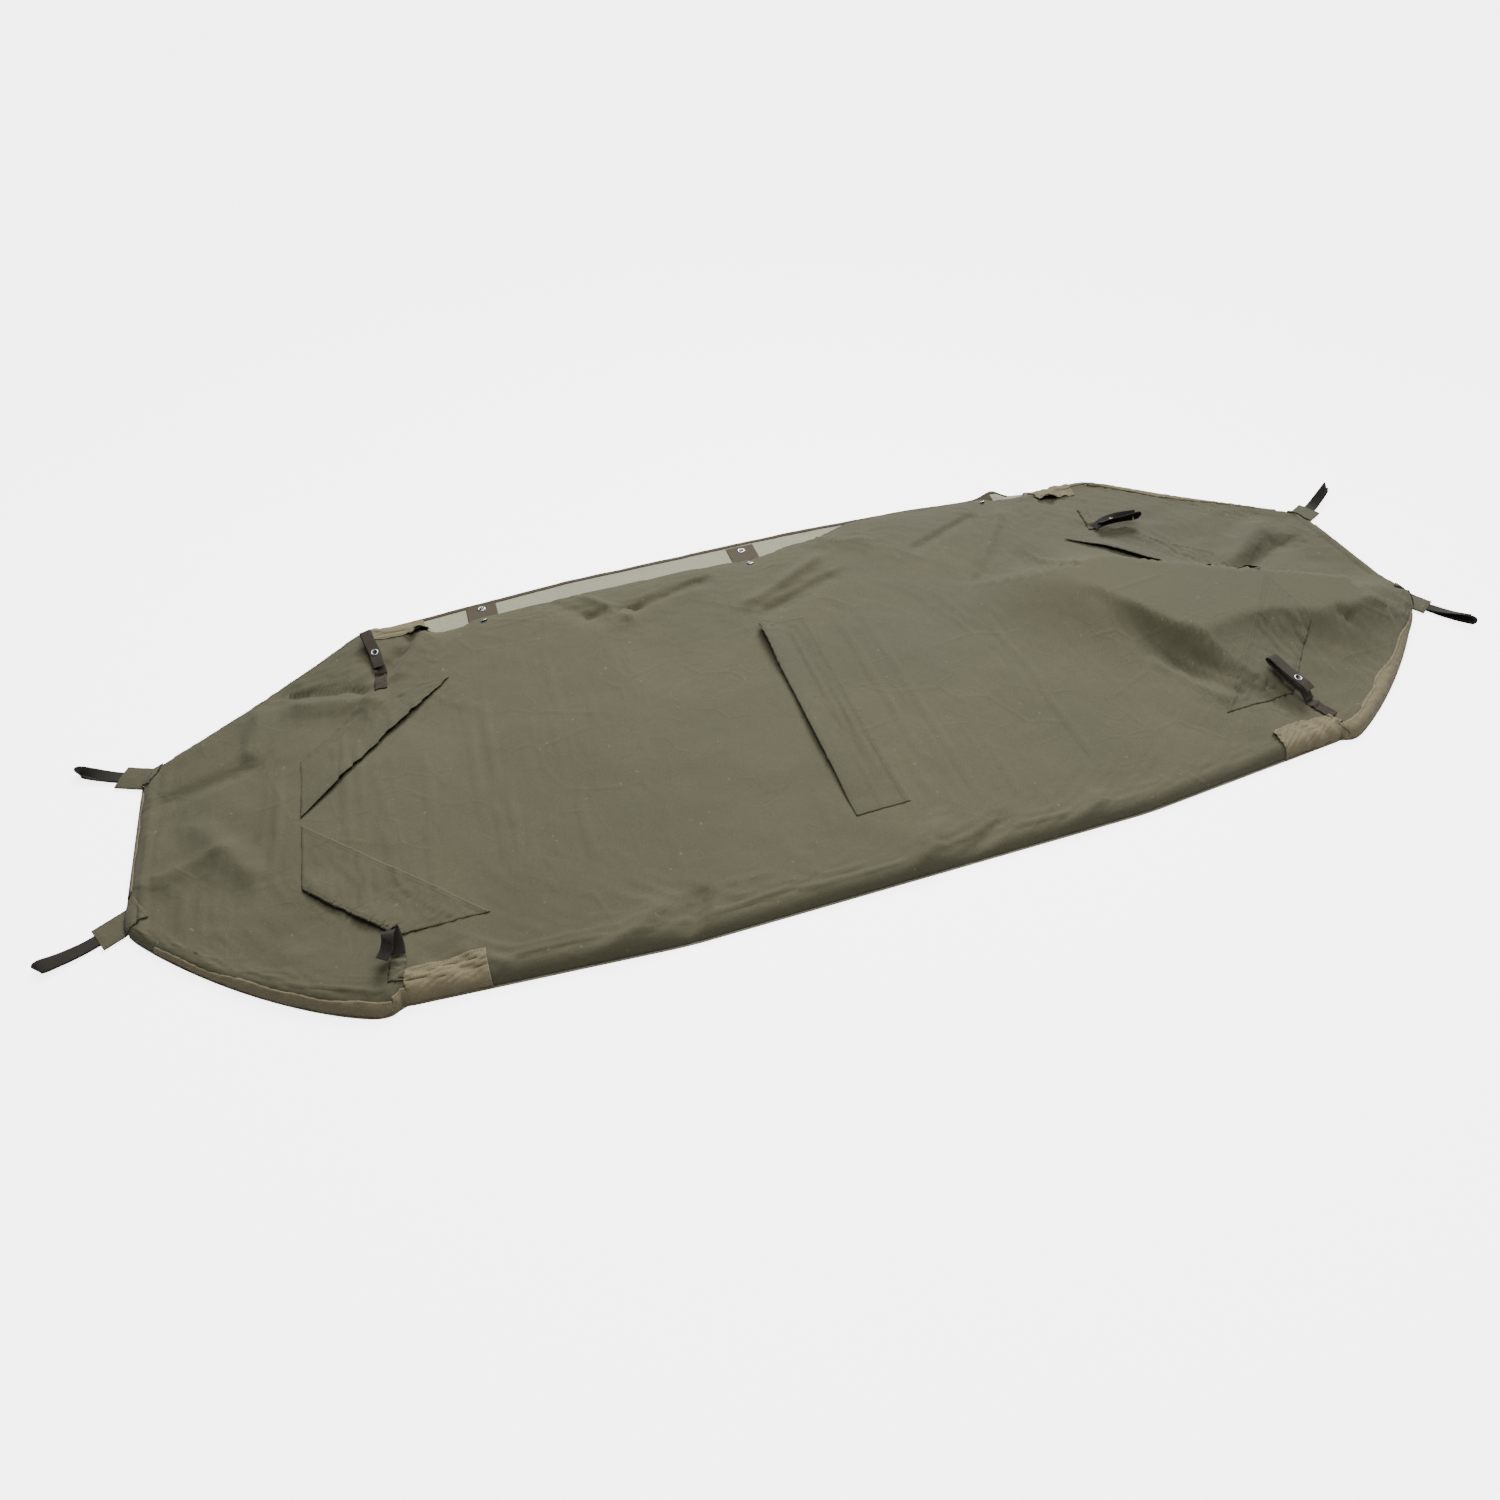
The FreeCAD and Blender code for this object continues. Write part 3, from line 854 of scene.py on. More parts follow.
def keep_normals(mesh):
    """Shades a part by the normals of the whole cloth it was cut from, so no line shows at a cut."""
    whole = mesh.attributes["whole_normal"].data
    normals = []
    for face in mesh.polygons:
        for loop_index in face.loop_indices:
            vertex = mesh.loops[loop_index].vertex_index
            normal = Vector(whole[vertex].vector)
            facing = face.normal.dot(normal)
            if normal.length < 0.5 or abs(facing) < 0.35:
                normals.append(face.normal.copy())
            else:
                normals.append(normal if facing > 0 else -normal)
    mesh.attributes.remove(mesh.attributes["whole_normal"])
    mesh.normals_split_custom_set([tuple(n) for n in normals])


def beneath(layer, obj):
    """The parts of the upper or lower cloth that a piece lies over."""
    places = [v.co.x for v in obj.data.vertices]
    sides = [("left", min(places) < PARTING_X), ("right", max(places) > PARTING_X)]
    return ["%s_cloth_%s" % (layer, side) for side, there in sides if there]


def inclusive(low, high, count):
    return [mix(low, high, k / count) for k in range(count + 1)]


# ------------------------------------------------------------------ operators


class COVER_OT_stage(bpy.types.Operator):
    """Make the camera, the lights and the pale floor"""

    bl_idname = "cover.stage"
    bl_label = "Stage"

    def execute(self, context):
        scene = context.scene
        yaw, pitch, roll = -0.3006852, 0.8150820, -0.0234338
        back = Vector((
            math.sin(yaw) * math.cos(pitch), -math.cos(yaw) * math.cos(pitch), math.sin(pitch)
        ))
        right = (-back).cross(Vector((0, 0, 1))).normalized()
        up = right.cross(-back)
        side = right * math.cos(roll) + up * math.sin(roll)
        rise = up * math.cos(roll) - right * math.sin(roll)
        lens = bpy.data.cameras.new("camera")
        lens.sensor_width = 36.0
        lens.lens = 23.515
        lens.clip_start = 0.01
        camera = bpy.data.objects.new("camera", lens)
        turn = Matrix((side, rise, back)).transposed().to_4x4()
        camera.matrix_world = Matrix.Translation((-0.48974, -1.14386, 1.15040)) @ turn
        context.collection.objects.link(camera)
        scene.camera = camera

        def panel(name, place, target, size, power):
            light = bpy.data.lights.new(name, "AREA")
            light.shape = "RECTANGLE"
            light.size, light.size_y = size
            light.energy = power
            lamp = bpy.data.objects.new(name, light)
            heading = Vector(target) - Vector(place)
            lamp.matrix_world = Matrix.Translation(place) @ heading.to_track_quat(
                "-Z", "Y"
            ).to_matrix().to_4x4()
            context.collection.objects.link(lamp)

        panel("ceiling_softbox", (0.1, 0.2, 2.0), (0.0, 0.0, 0.0), (1.8, 1.2), 55)
        far_light = bpy.data.lights.new("far_softbox", "SUN")
        far_light.angle = math.radians(24)
        far_light.energy = 4.6
        far_lamp = bpy.data.objects.new("far_softbox", far_light)
        far_lamp.matrix_world = Vector((0.42, 0.68, 0.60)).to_track_quat("Z", "Y").to_matrix().to_4x4()
        context.collection.objects.link(far_lamp)
        world = bpy.data.worlds.new("studio")
        world.use_nodes = True
        world.node_tree.nodes["Background"].inputs["Color"].default_value = (1, 1, 1, 1)
        nodes, links = world.node_tree.nodes, world.node_tree.links
        path = nodes.new("ShaderNodeLightPath")
        strength = math_node(nodes, links, "MULTIPLY_ADD", path.outputs["Is Camera Ray"], 5.0)
        strength.node.inputs[2].default_value = 0.23
        links.new(strength, nodes["Background"].inputs["Strength"])
        scene.world = world
        bm = bmesh.new()
        bmesh.ops.create_grid(bm, x_segments=2, y_segments=2, size=12.0)
        mesh = bpy.data.meshes.new("floor")
        bm.to_mesh(mesh)
        bm.free()
        floor = new_object("floor", mesh)
        mesh.materials.append(floor_material())
        return {"FINISHED"}


class COVER_OT_upper_cloth(bpy.types.Operator):
    """Lay the upper cloth, let it settle into creases, part it in the middle and at the mouth, and cut
    extra lines across it at the folds
    """

    bl_idname = "cover.upper_cloth"
    bl_label = "Upper cloth"

    columns = 300
    rows = 116

    def place(self, u, t):
        """Grid lines lie closer near the edges, where the cloth rolls over."""
        s = 2 * t - 1
        s = s * (1.28 - 0.28 * s * s)
        x = mix(-1, 1, u)
        x = x * (1.05 - 0.05 * x * x) * (HALF_LENGTH - 0.003)
        y = s * (upper_far(x) if s > 0 else upper_near(x))
        sizes = bpy.context.scene.cover_sizes
        return x, y, resting_height(x, y, sizes.loft, sizes.roll)

    def settle(self, cloth):
        """Runs the cloth simulation over a form of the cover's shape and keeps its result."""
        sizes = bpy.context.scene.cover_sizes
        scene = bpy.context.scene
        start = [v.co.copy() for v in cloth.data.vertices]
        form = new_object(
            "form", grid_mesh(
                "form", 150, 58, lambda u, t: Vector(self.place(u, t)) - Vector((0, 0, 0.0045))
            )
        )
        form.modifiers.new("Collision", "COLLISION")
        form.collision.thickness_outer = 0.001
        form.collision.cloth_friction = 4.0
        held = cloth.vertex_groups.new(name="sewn")
        for v in cloth.data.vertices:
            x, y = v.co.x, v.co.y
            gap = min(y + upper_near(x), HALF_LENGTH - 0.003 - abs(x))
            far = upper_far(x) - y
            weight = 1 - ease(gap / 0.030)
            weight = max(weight, (1 - ease(far / 0.030)) * (1 - 0.75 * mouth_share(x)))
            if weight > 0.01:
                held.add([v.index], weight, "REPLACE")
        hanging = cloth.modifiers.new("Cloth", "CLOTH")
        rules = hanging.settings
        rules.quality = 6
        rules.mass = 0.25
        rules.tension_stiffness = 18
        rules.compression_stiffness = 18
        rules.shear_stiffness = 6
        rules.bending_stiffness = 0.25
        rules.air_damping = 3.0
        rules.shrink_min = -sizes.slack
        rules.vertex_group_mass = "sewn"
        rules.pin_stiffness = 1.0
        rules.effector_weights.gravity = 0.5
        hanging.collision_settings.distance_min = 0.0015
        hanging.collision_settings.use_self_collision = False
        scene.frame_start, scene.frame_end = 1, sizes.settle_steps
        hanging.point_cache.frame_end = sizes.settle_steps
        for step in range(1, sizes.settle_steps + 1):
            scene.frame_set(step)
        baked(cloth)
        scene.frame_set(1)
        cloth.vertex_groups.clear()
        form_mesh = form.data
        bpy.data.objects.remove(form)
        bpy.data.meshes.remove(form_mesh)
        furthest = 0.014
        for v, before in zip(cloth.data.vertices, start):
            move = v.co - before
            if move.length > furthest:
                v.co = before + move * (furthest / move.length)

    def execute(self, context):
        sizes = context.scene.cover_sizes
        mesh = grid_mesh("whole", self.columns, self.rows, self.place)
        whole = new_object("whole", mesh)
        cut = flat_area(mesh)
        self.settle(whole)
        for v in whole.data.vertices:
            x, y = v.co.x, v.co.y
            inner = ease((
                half_width(x, 1 if y > 0 else -1) - abs(y)
            ) / 0.05) * ease((HALF_LENGTH - abs(x)) / 0.05)
            line = crease(x, y, 4.3, 31.0, 14) * ease(
                noise.noise(Vector((x * 2.3, y * 2.3, 77))) * 3 + 0.4
            )
            fine = crease(x, y, 11.0, 57.0, 9) * ease(noise.noise(Vector((x * 4, y * 4, 13))) * 3 + 0.3)
            crumple = 0.0034 * facets(x, y, 0.115, 3.0) + 0.0015 * facets(x, y, 0.046, 8.0)
            crumple *= 0.55 + 0.75 * ease((abs(x) - 0.45) / 0.35)
            v.co.z += inner * (0.0008 * line - 0.0004 * fine + crumple)
            v.co.z = min(0.0620, max(0.0022, v.co.z))
        mesh = whole.data
        mesh.update()
        normals = mesh.attributes.new("whole_normal", "FLOAT_VECTOR", "POINT")
        for v in mesh.vertices:
            normals.data[v.index].vector = v.normal
        made["upper"] = BVHTree.FromObject(whole, context.evaluated_depsgraph_get())
        olive = [finish("olive_canvas")]
        left_lines = inclusive(FOLD_LEFT[1] - 0.003, FOLD_LEFT[0] + 0.003, 14)
        right_lines = inclusive(FOLD_RIGHT[0] - 0.003, FOLD_RIGHT[1] + 0.003, 14)
        parts = {
            "upper_cloth_left": ([((PARTING_X, 0, 0), (1, 0, 0))], left_lines),
            "upper_cloth_right": ([((PARTING_X, 0, 0), (-1, 0, 0))], right_lines),
        }
        for name, (planes, lines) in parts.items():
            sheet = cut_mesh(mesh, name, planes, [*lines, *MOUTH_X], [MOUTH_Y])
            drop_faces(sheet, lambda c: MOUTH_X[0] < c.x < MOUTH_X[1] and c.y > MOUTH_Y)
            self.declare(new_object(name, sheet), sizes, olive)
        planes = [
            ((MOUTH_X[0], 0, 0), (-1, 0, 0)),
            ((MOUTH_X[1], 0, 0), (1, 0, 0)),
            ((0, MOUTH_Y, 0), (0, -1, 0)),
        ]
        lines = inclusive(MOUTH_Y + 0.002, MOUTH_Y + 0.020, 8)
        border = cut_mesh(mesh, "mouth_border", planes, (), lines)
        self.declare(new_object("mouth_border", border), sizes, olive)
        going_left(bpy.data.objects["upper_cloth_left"])
        going_right(bpy.data.objects["upper_cloth_right"])
        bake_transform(bpy.data.objects["mouth_border"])
        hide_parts("upper_sheet_left", "upper_sheet_middle")
        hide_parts("upper_sheet_right")
        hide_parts("mouth_flap")
        bpy.data.objects.remove(whole)
        return {"FINISHED"}

    def declare(self, obj, sizes, materials):
        size, area = flat_size(obj.data), flat_area(obj.data)
        thickened(obj, sizes.cloth, materials)
        keep_normals(obj.data)


def binding(name, low, high, nodes_replaced, follow):
    """A tape bound round the mouth's lower edge from one x to another."""
    width = 0.0085

    def point(u, t):
        x = mix(low, high, u)
        edge = half_width(x, 1)
        y = edge + 0.0007 - width * t
        height = lower_height(x, min(y, edge)) + 0.0009 + 0.0006 * math.sin(math.pi * t)
        return x, y, height

    def flat(u, t):
        return mix(low, high, u), width * t

    obj = new_object(name, grid_mesh(name, 140, 5, point, flat))
    face_up(obj)
    thickened(obj, 0.0009, [finish("binding_tape")])
    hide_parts(*nodes_replaced)
    follow(obj)
    return obj


class COVER_OT_lower_cloth(bpy.types.Operator):
    """Lay the lower cloth on the ground, coated side up"""

    bl_idname = "cover.lower_cloth"
    bl_label = "Lower cloth"

    def place(self, u, t):
        x = mix(-HALF_LENGTH, HALF_LENGTH, u)
        s = 2 * t - 1
        s = s * (1.25 - 0.25 * s * s)
        y = s * half_width(x, 1 if s > 0 else -1)
        return x, y, lower_height(x, y)

    def execute(self, context):
        sizes = context.scene.cover_sizes
        whole = grid_mesh("lower", 240, 80, self.place)
        materials = [finish("coated_inside"), finish("tan_canvas")]
        replaced = ["mouth_binding_left", "mouth_binding_middle"]
        tapes = (
            binding("mouth_binding_a", BINDING_X[0], PARTING_X, replaced, going_left),
            binding("mouth_binding_b", PARTING_X, BINDING_X[1], [], going_right),
        )
        halves = (("lower_cloth_left", 1, FOLD_LEFT), ("lower_cloth_right", -1, FOLD_RIGHT))
        for (name, side, fold), tape in zip(halves, tapes):
            low, high = min(fold) - 0.003, max(fold) + 0.003
            sheet = cut_mesh(whole, name, [((PARTING_X, 0, 0), (side, 0, 0))], inclusive(low, high, 14))
            obj = new_object(name, sheet)
            size, area = flat_size(sheet), flat_area(sheet)
            thickened(obj, sizes.cloth, materials)
        going_left(bpy.data.objects["lower_cloth_left"])
        going_right(bpy.data.objects["lower_cloth_right"])
        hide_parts("lower_sheet_left", "lower_sheet_middle")
        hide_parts("lower_sheet_right")
        bpy.data.meshes.remove(whole)
        return {"FINISHED"}


def lower_height(x, y):
    """The height of the lower cloth's upper side. It crumples a little inside the mouth."""
    near_edge = ease((y - 0.30) / 0.08) * mouth_share(x)
    waves = 0.5 + 0.5 * noise.noise(Vector((x * 17, y * 30, 3)))
    waves += 0.35 * noise.noise(Vector((x * 42, y * 50, 8)))
    lift = 0.0018 * max(0.0, waves) * near_edge
    arch = 0.017 * bump((x - 0.535) / 0.026) * ease((y - 0.350) / 0.060)
    return 0.0009 + lift + arch


class COVER_OT_mouth_trim(bpy.types.Operator):
    """Set the mouth's press studs on their patches, and hem and stitch the upper cloth's edge along the
    mouth
    """

    bl_idname = "cover.mouth_trim"
    bl_label = "Mouth trim"

    def execute(self, context):
        for number, x in enumerate(STUD_X):
            low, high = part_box("stud_patch_%d" % (number + 1))
            stud_y = high.y - 0.0085
            name = "stud_cloth_%d" % (number + 1)

            def point(u, t, low=low, high=high):
                px, py = mix(low.x, high.x, u), mix(low.y, high.y + 0.006, t)
                return px, py, lower_height(px, py) + 0.0010

            obj = new_object(name, grid_mesh(name, 24, 20, point))
            size, area = flat_size(obj.data), flat_area(obj.data)
            thickened(obj, 0.0008, [finish("binding_tape")])
            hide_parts("stud_patch_%d" % (number + 1))
            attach(obj, "middle")
            seat = Vector((x, stud_y, lower_height(x, stud_y) + 0.0010))
            profile = [
                (0.0, 0.0), (0.0072, 0.0), (0.0075, 0.0004), (0.0072, 0.0009), (0.0052, 0.0010),
                (
                    0.0046, 0.0006
                ), (0.0036, 0.0007), (0.0031, 0.0012), (0.0032, 0.0028), (0.0030, 0.0034),
                (0.0018, 0.0036), (0.0015, 0.0026), (0.0, 0.0025),
            ]
            # The post's recessed top and the groove round its foot take the near-black metal, painted shade
            # in these hollows.
            stud = turned(
                "mouth_stud_%d" % (number + 1), profile, seat, (0, 0, 1),
                [finish("bright_metal"), finish("painted_shade_metal")],
                lambda c: 1 if Vector((
                    c.x, c.y
                )).length < 0.0016 or 0.0036 < Vector((c.x, c.y)).length < 0.0046 else 0,
            )
            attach(stud, "middle")
            if number == 0:
                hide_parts("mouth_studs")
            cap_y = upper_far(x) - 0.016
            top = on_cloth(x, cap_y, 0.0001)
            lean = on_cloth(x, cap_y, 1.0) - on_cloth(x, cap_y, 0.0)
            profile = [
                (0.0, -0.0002), (0.0070, -0.0002), (0.0075, 0.0003), (0.0068, 0.0011), (0.0045, 0.0016),
                (0.0026, 0.0014), (0.0022, 0.0010), (0.0, 0.0010),
            ]
            # The cap's recessed centre takes the near-black metal, painted shade in the hollow.
            cap = turned(
                "mouth_cap_%d" % (number + 1), profile, top, lean,
                [finish("bright_metal"), finish("painted_shade_metal")],
                lambda c: 1 if Vector((c.x, c.y)).length < 0.0024 else 0,
            )
            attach(cap, "mouth_border")
            if number == 0:
                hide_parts("mouth_stud_caps")

        def under(u, t):
            x = mix(MOUTH_X[0] + 0.001, MOUTH_X[1] - 0.001, u)
            spot = on_cloth(x, upper_far(x) - 0.0012 - 0.0080 * t, -0.0009)
            return spot.x, spot.y, max(0.0012, spot.z)

        hem = new_object("mouth_border_hem", grid_mesh("mouth_border_hem", 200, 3, under))
        face_up(hem)
        thickened(hem, 0.0006, [finish("olive_canvas")])
        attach(hem, "mouth_border")
        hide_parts("mouth_flap_hem")
        row = [
            on_cloth(x, upper_far(x) - 0.0078, 0.0001)
            for x in inclusive(MOUTH_X[0] + 0.004, MOUTH_X[1] - 0.004, 300)
        ]
        seam = stitches(
            "mouth_border_stitching", row, context.scene.cover_sizes.stitch, finish("thread")
        )
        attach(seam, "mouth_border")
        return {"FINISHED"}


class COVER_OT_hems(bpy.types.Operator):
    """Turn the lower cloth's hem over the upper cloth's edge at both ends"""

    bl_idname = "cover.hems"
    bl_label = "Hems"

    def taper_hem(self, name, node, body, x0, x1, side, widths, seed):
        def place(u, t):
            x = mix(x0, x1, u)
            wide = along(widths, u) * (1 + 0.22 * noise.noise(Vector((u * 7, seed, 1))))
            slope = -math.copysign(0.722, x) if abs(x) > SHOULDER_X else -math.copysign(0.082, x)
            inward = Vector((slope, -1)).normalized()
            edge = half_width(x, side)
            base = Vector((x, edge))
            spot = base + inward * (wide * t)
            return spot.x, spot.y * side

        def lift(u, t):
            return 0.0010 + 0.0007 * math.sin(math.pi * t) + 0.0008 * noise.noise(Vector((
                u * 22, t * 2, seed
            )))

        length = (Vector((x0, half_width(x0, side))) - Vector((x1, half_width(x1, side)))).length

        self.finish_hem(name, node, body, place, lift, 110, over_roll(place, lift, length))

    def end_hem(self, name, node, body, direction, seed):
        def place(u, t):
            y = mix(-0.098, 0.098, u)
            wide = 0.011 * (1 + 0.3 * noise.noise(Vector((u * 6, seed, 2))))
            return direction * (HALF_LENGTH - 0.0004 - wide * t), y

        def lift(u, t):
            return 0.0010 + 0.0006 * math.sin(math.pi * t)

        self.finish_hem(name, node, body, place, lift, 50, over_roll(place, lift, 0.196))

    def finish_hem(self, name, node, body, place, lift, columns, flat):
        obj = laid(name, columns, 8, place, lift, [finish("tan_canvas")], 0.0008, flat)
        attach(obj, body)
        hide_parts(node)
        row = [on_cloth(*place(u, 0.86), 0.0024) for u in inclusive(0.005, 0.995, columns * 2)]
        seam = stitches(
            name + "_stitching", row, bpy.context.scene.cover_sizes.stitch, finish("thread")
        )
        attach(seam, body)

    def execute(self, context):
        thin = ((0.0, 0.014), (0.5, 0.012), (1.0, 0.009))
        wide = ((0.0, 0.026), (0.5, 0.027), (0.8, 0.018), (1.0, 0.012))
        self.taper_hem("hem_far_left", "hem_left_far", "left_end", -0.738, -1.055, 1, thin, 3.0)
        self.taper_hem(
            "hem_near_left", "hem_left_near", "left_end", -0.726, -1.055, -1,
            ((0.0, 0.017), (0.4, 0.012), (1.0, 0.007)), 5.0
        )
        self.taper_hem("hem_near_right", "hem_right_near", "right_end", 0.731, 1.055, -1, wide, 7.0)
        self.taper_hem("hem_far_right", "hem_right_far", "right_end", 0.696, 1.055, 1, wide, 9.0)
        self.end_hem("hem_left_edge", "hem_left_end", "left_end", -1, 11.0)
        self.end_hem("hem_right_edge", "hem_right_end", "right_end", 1, 13.0)
        return {"FINISHED"}


class COVER_OT_corner_patches(bpy.types.Operator):
    """Fold the four patches over the edge at the wide corners"""

    bl_idname = "cover.corner_patches"
    bl_label = "Corner patches"

    # inner edge's left and right corners, outer edge's left and right x, and which side
    corners = {
        "far_left": ((-0.742, 0.352), (-0.630, 0.342), -0.744, -0.640, 1),
        "near_left": ((-0.733, -0.357), (-0.622, -0.357), -0.728, -0.622, -1),
        "near_right": ((0.622, -0.364), (0.737, -0.353), 0.622, 0.741, -1),
        "far_right": ((0.612, 0.352), (0.692, 0.346), 0.608, 0.700, 1),
    }

    def execute(self, context):
        for corner, (left, right, out_left, out_right, side) in self.corners.items():
            end = corner.split("_")[1] + "_end"

            def place(u, t):
                x = mix(out_left, out_right, u)
                outer = Vector((x, side * half_width(x, side)))
                inner = Vector(left).lerp(Vector(right), u)
                spot = outer.lerp(inner, t)
                if corner == "near_right":
                    spot.y += 0.004 * math.sin(5 * u) * t
                return spot.x, spot.y

            def lift(u, t):
                rise = 0.0012
                if corner == "far_left":
                    rise += 0.0022 * ease((u - 0.55) / 0.3) * (0.5 + 0.5 * math.sin(30 * u)) * t
                    rise += 0.009 * bump((u - 0.86) / 0.16) * ease((t - 0.45) / 0.55)
                if corner == "near_right":
                    rise += 0.0022 * (0.5 + 0.5 * math.sin(24 * u + 2 * t)) * ease((u - 0.25) / 0.2)
                    rise += 0.004 * bump(u / 0.06) * t
                if corner == "near_left":
                    rise += 0.0010 * (0.5 + 0.5 * math.sin(15 * u))
                if corner == "far_right":
                    rise += 0.0020 * (0.5 + 0.5 * math.sin(20 * u))
                    rise += 0.012 * bump((u - 0.28) / 0.20) * ease((t - 0.45) / 0.55)
                return rise

            name = "corner_cloth_" + corner
            flat = over_roll(place, lift, abs(out_right - out_left))
            obj = laid(name, 70, 40, place, lift, [finish("tan_canvas")], 0.0009, flat)
            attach(obj, end)
            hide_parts("corner_patch_" + corner)
            inset = 0.05
            loop = [(u, 1 - 0.08) for u in inclusive(inset, 1 - inset, 60)]
            row = [on_cloth(*place(u, t), lift(u, t) + 0.0001) for u, t in loop]
            seam = stitches(
                name + "_stitching", row, context.scene.cover_sizes.stitch, finish("thread")
            )
            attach(seam, end)
        return {"FINISHED"}


class COVER_OT_strip_pockets(bpy.types.Operator):
    """Sew on the strip across the middle and the four slanting ones"""

    bl_idname = "cover.strip_pockets"
    bl_label = "Strip pockets"

    meet, half_gap, reach, corner = -0.045, 0.007, 0.255, 0.122

    def strip(self, name, node, body, sewn, loose, gape, shape, columns, rows):
        """sewn and loose are the two ends of the stitched and the open edge."""

        def place(u, t):
            spot = Vector(sewn[0]).lerp(Vector(sewn[1]), u).lerp(
                Vector(loose[0]).lerp(Vector(loose[1]), u), t
            )
            return spot.x, spot.y

        def lift(u, t):
            wave = 0.0006 * noise.noise(Vector((u * 9, t * 3, gape * 1000)))
            return 0.0011 + max(0.0, wave) + gape * shape(u) * ease((t - 0.45) / 0.55)

        run = (Vector(sewn[1]) - Vector(sewn[0])).normalized()

        def flat(u, t):
            spot = Vector(place(u, t)) - Vector(sewn[0])
            return spot.dot(run), run.cross(spot)

        obj = laid(name, columns, rows, place, lift, [finish("strip_canvas")], 0.0009, flat)
        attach(obj, body)
        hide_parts(node)
        pitch = bpy.context.scene.cover_sizes.stitch
        rows_of_thread = (
            [(u, 0.035) for u in inclusive(0.01, 0.99, 200)],
            [(u, 0.090) for u in inclusive(0.01, 0.99, 200)],
            [(0.012, t) for t in inclusive(0.03, 0.90, 60)],
            [(0.988, t) for t in inclusive(0.03, 0.90, 60)],
            [(u, 0.94) for u in inclusive(0.01, 0.99, 200)],
        )
        beside = "middle" if body == "centre_pocket" else body.split("_")[2] + "_end"
        for number, row in enumerate(rows_of_thread):
            points = [on_cloth(*place(u, t), lift(u, t) + 0.0001) for u, t in row]
            seam = stitches("%s_stitching_%d" % (name, number), points, pitch, finish("thread"))
            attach(seam, beside if number == 0 else body)

    def execute(self, context):
        self.strip(
            "strip_middle", "centre_strip", "centre_pocket",
            ((0.021, 0.161), (0.021, -0.306)), ((-0.066, 0.161), (-0.066, -0.306)), 0.015,
            lambda u: 0.30 + 0.70 * bump((
                u - 0.08
            ) / 0.17) + 0.25 * bump((u - 0.60) / 0.16) - 0.28 * ease((u - 0.8) / 0.2),
            150, 26,
        )
        for side, end_x, inward in (("left", -0.856, 1.0), ("right", 0.835, -1.0)):
            for edge, away in (("near", -1.0), ("far", 1.0)):
                meet = self.meet + away * self.half_gap
                reach = self.meet + away * self.reach
                run = self.reach - self.half_gap
                inner = ((end_x, meet), (end_x + inward * run, reach))
                outer = (
                    (end_x, meet + away * (run - self.corner)),
                    (end_x + inward * self.corner, reach)
                )
                sewn, loose = (inner, outer) if edge == "near" else (outer, inner)
                gape = 0.0075 if edge == "far" else 0.0065
                if (edge, side) == ("near", "right"):
                    gape = 0.0022

                def shape(u, edge=edge):
                    body = 0.25 + 0.75 * math.sin(math.pi * min(1.0, max(0.0, u))) ** 0.8
                    return body * (1 + 0.25 * math.sin(11 * u))

                self.strip(
                    "strip_%s_%s_cloth" % (edge, side), "strip_%s_%s" % (edge, side),
                    "pocket_%s_%s" % (edge, side), sewn, loose, gape, shape, 90, 30,
                )
        return {"FINISHED"}


def strap_path(foot, bearing, points):
    """Side-view points (along, sideways, up) turned to the bearing and set at the foot."""
    b = math.radians(bearing)
    ahead, aside = Vector((math.cos(b), math.sin(b), 0)), Vector((-math.sin(b), math.cos(b), 0))
    return [foot + ahead * p[0] + aside * p[1] + Vector((0, 0, p[2])) for p in points]


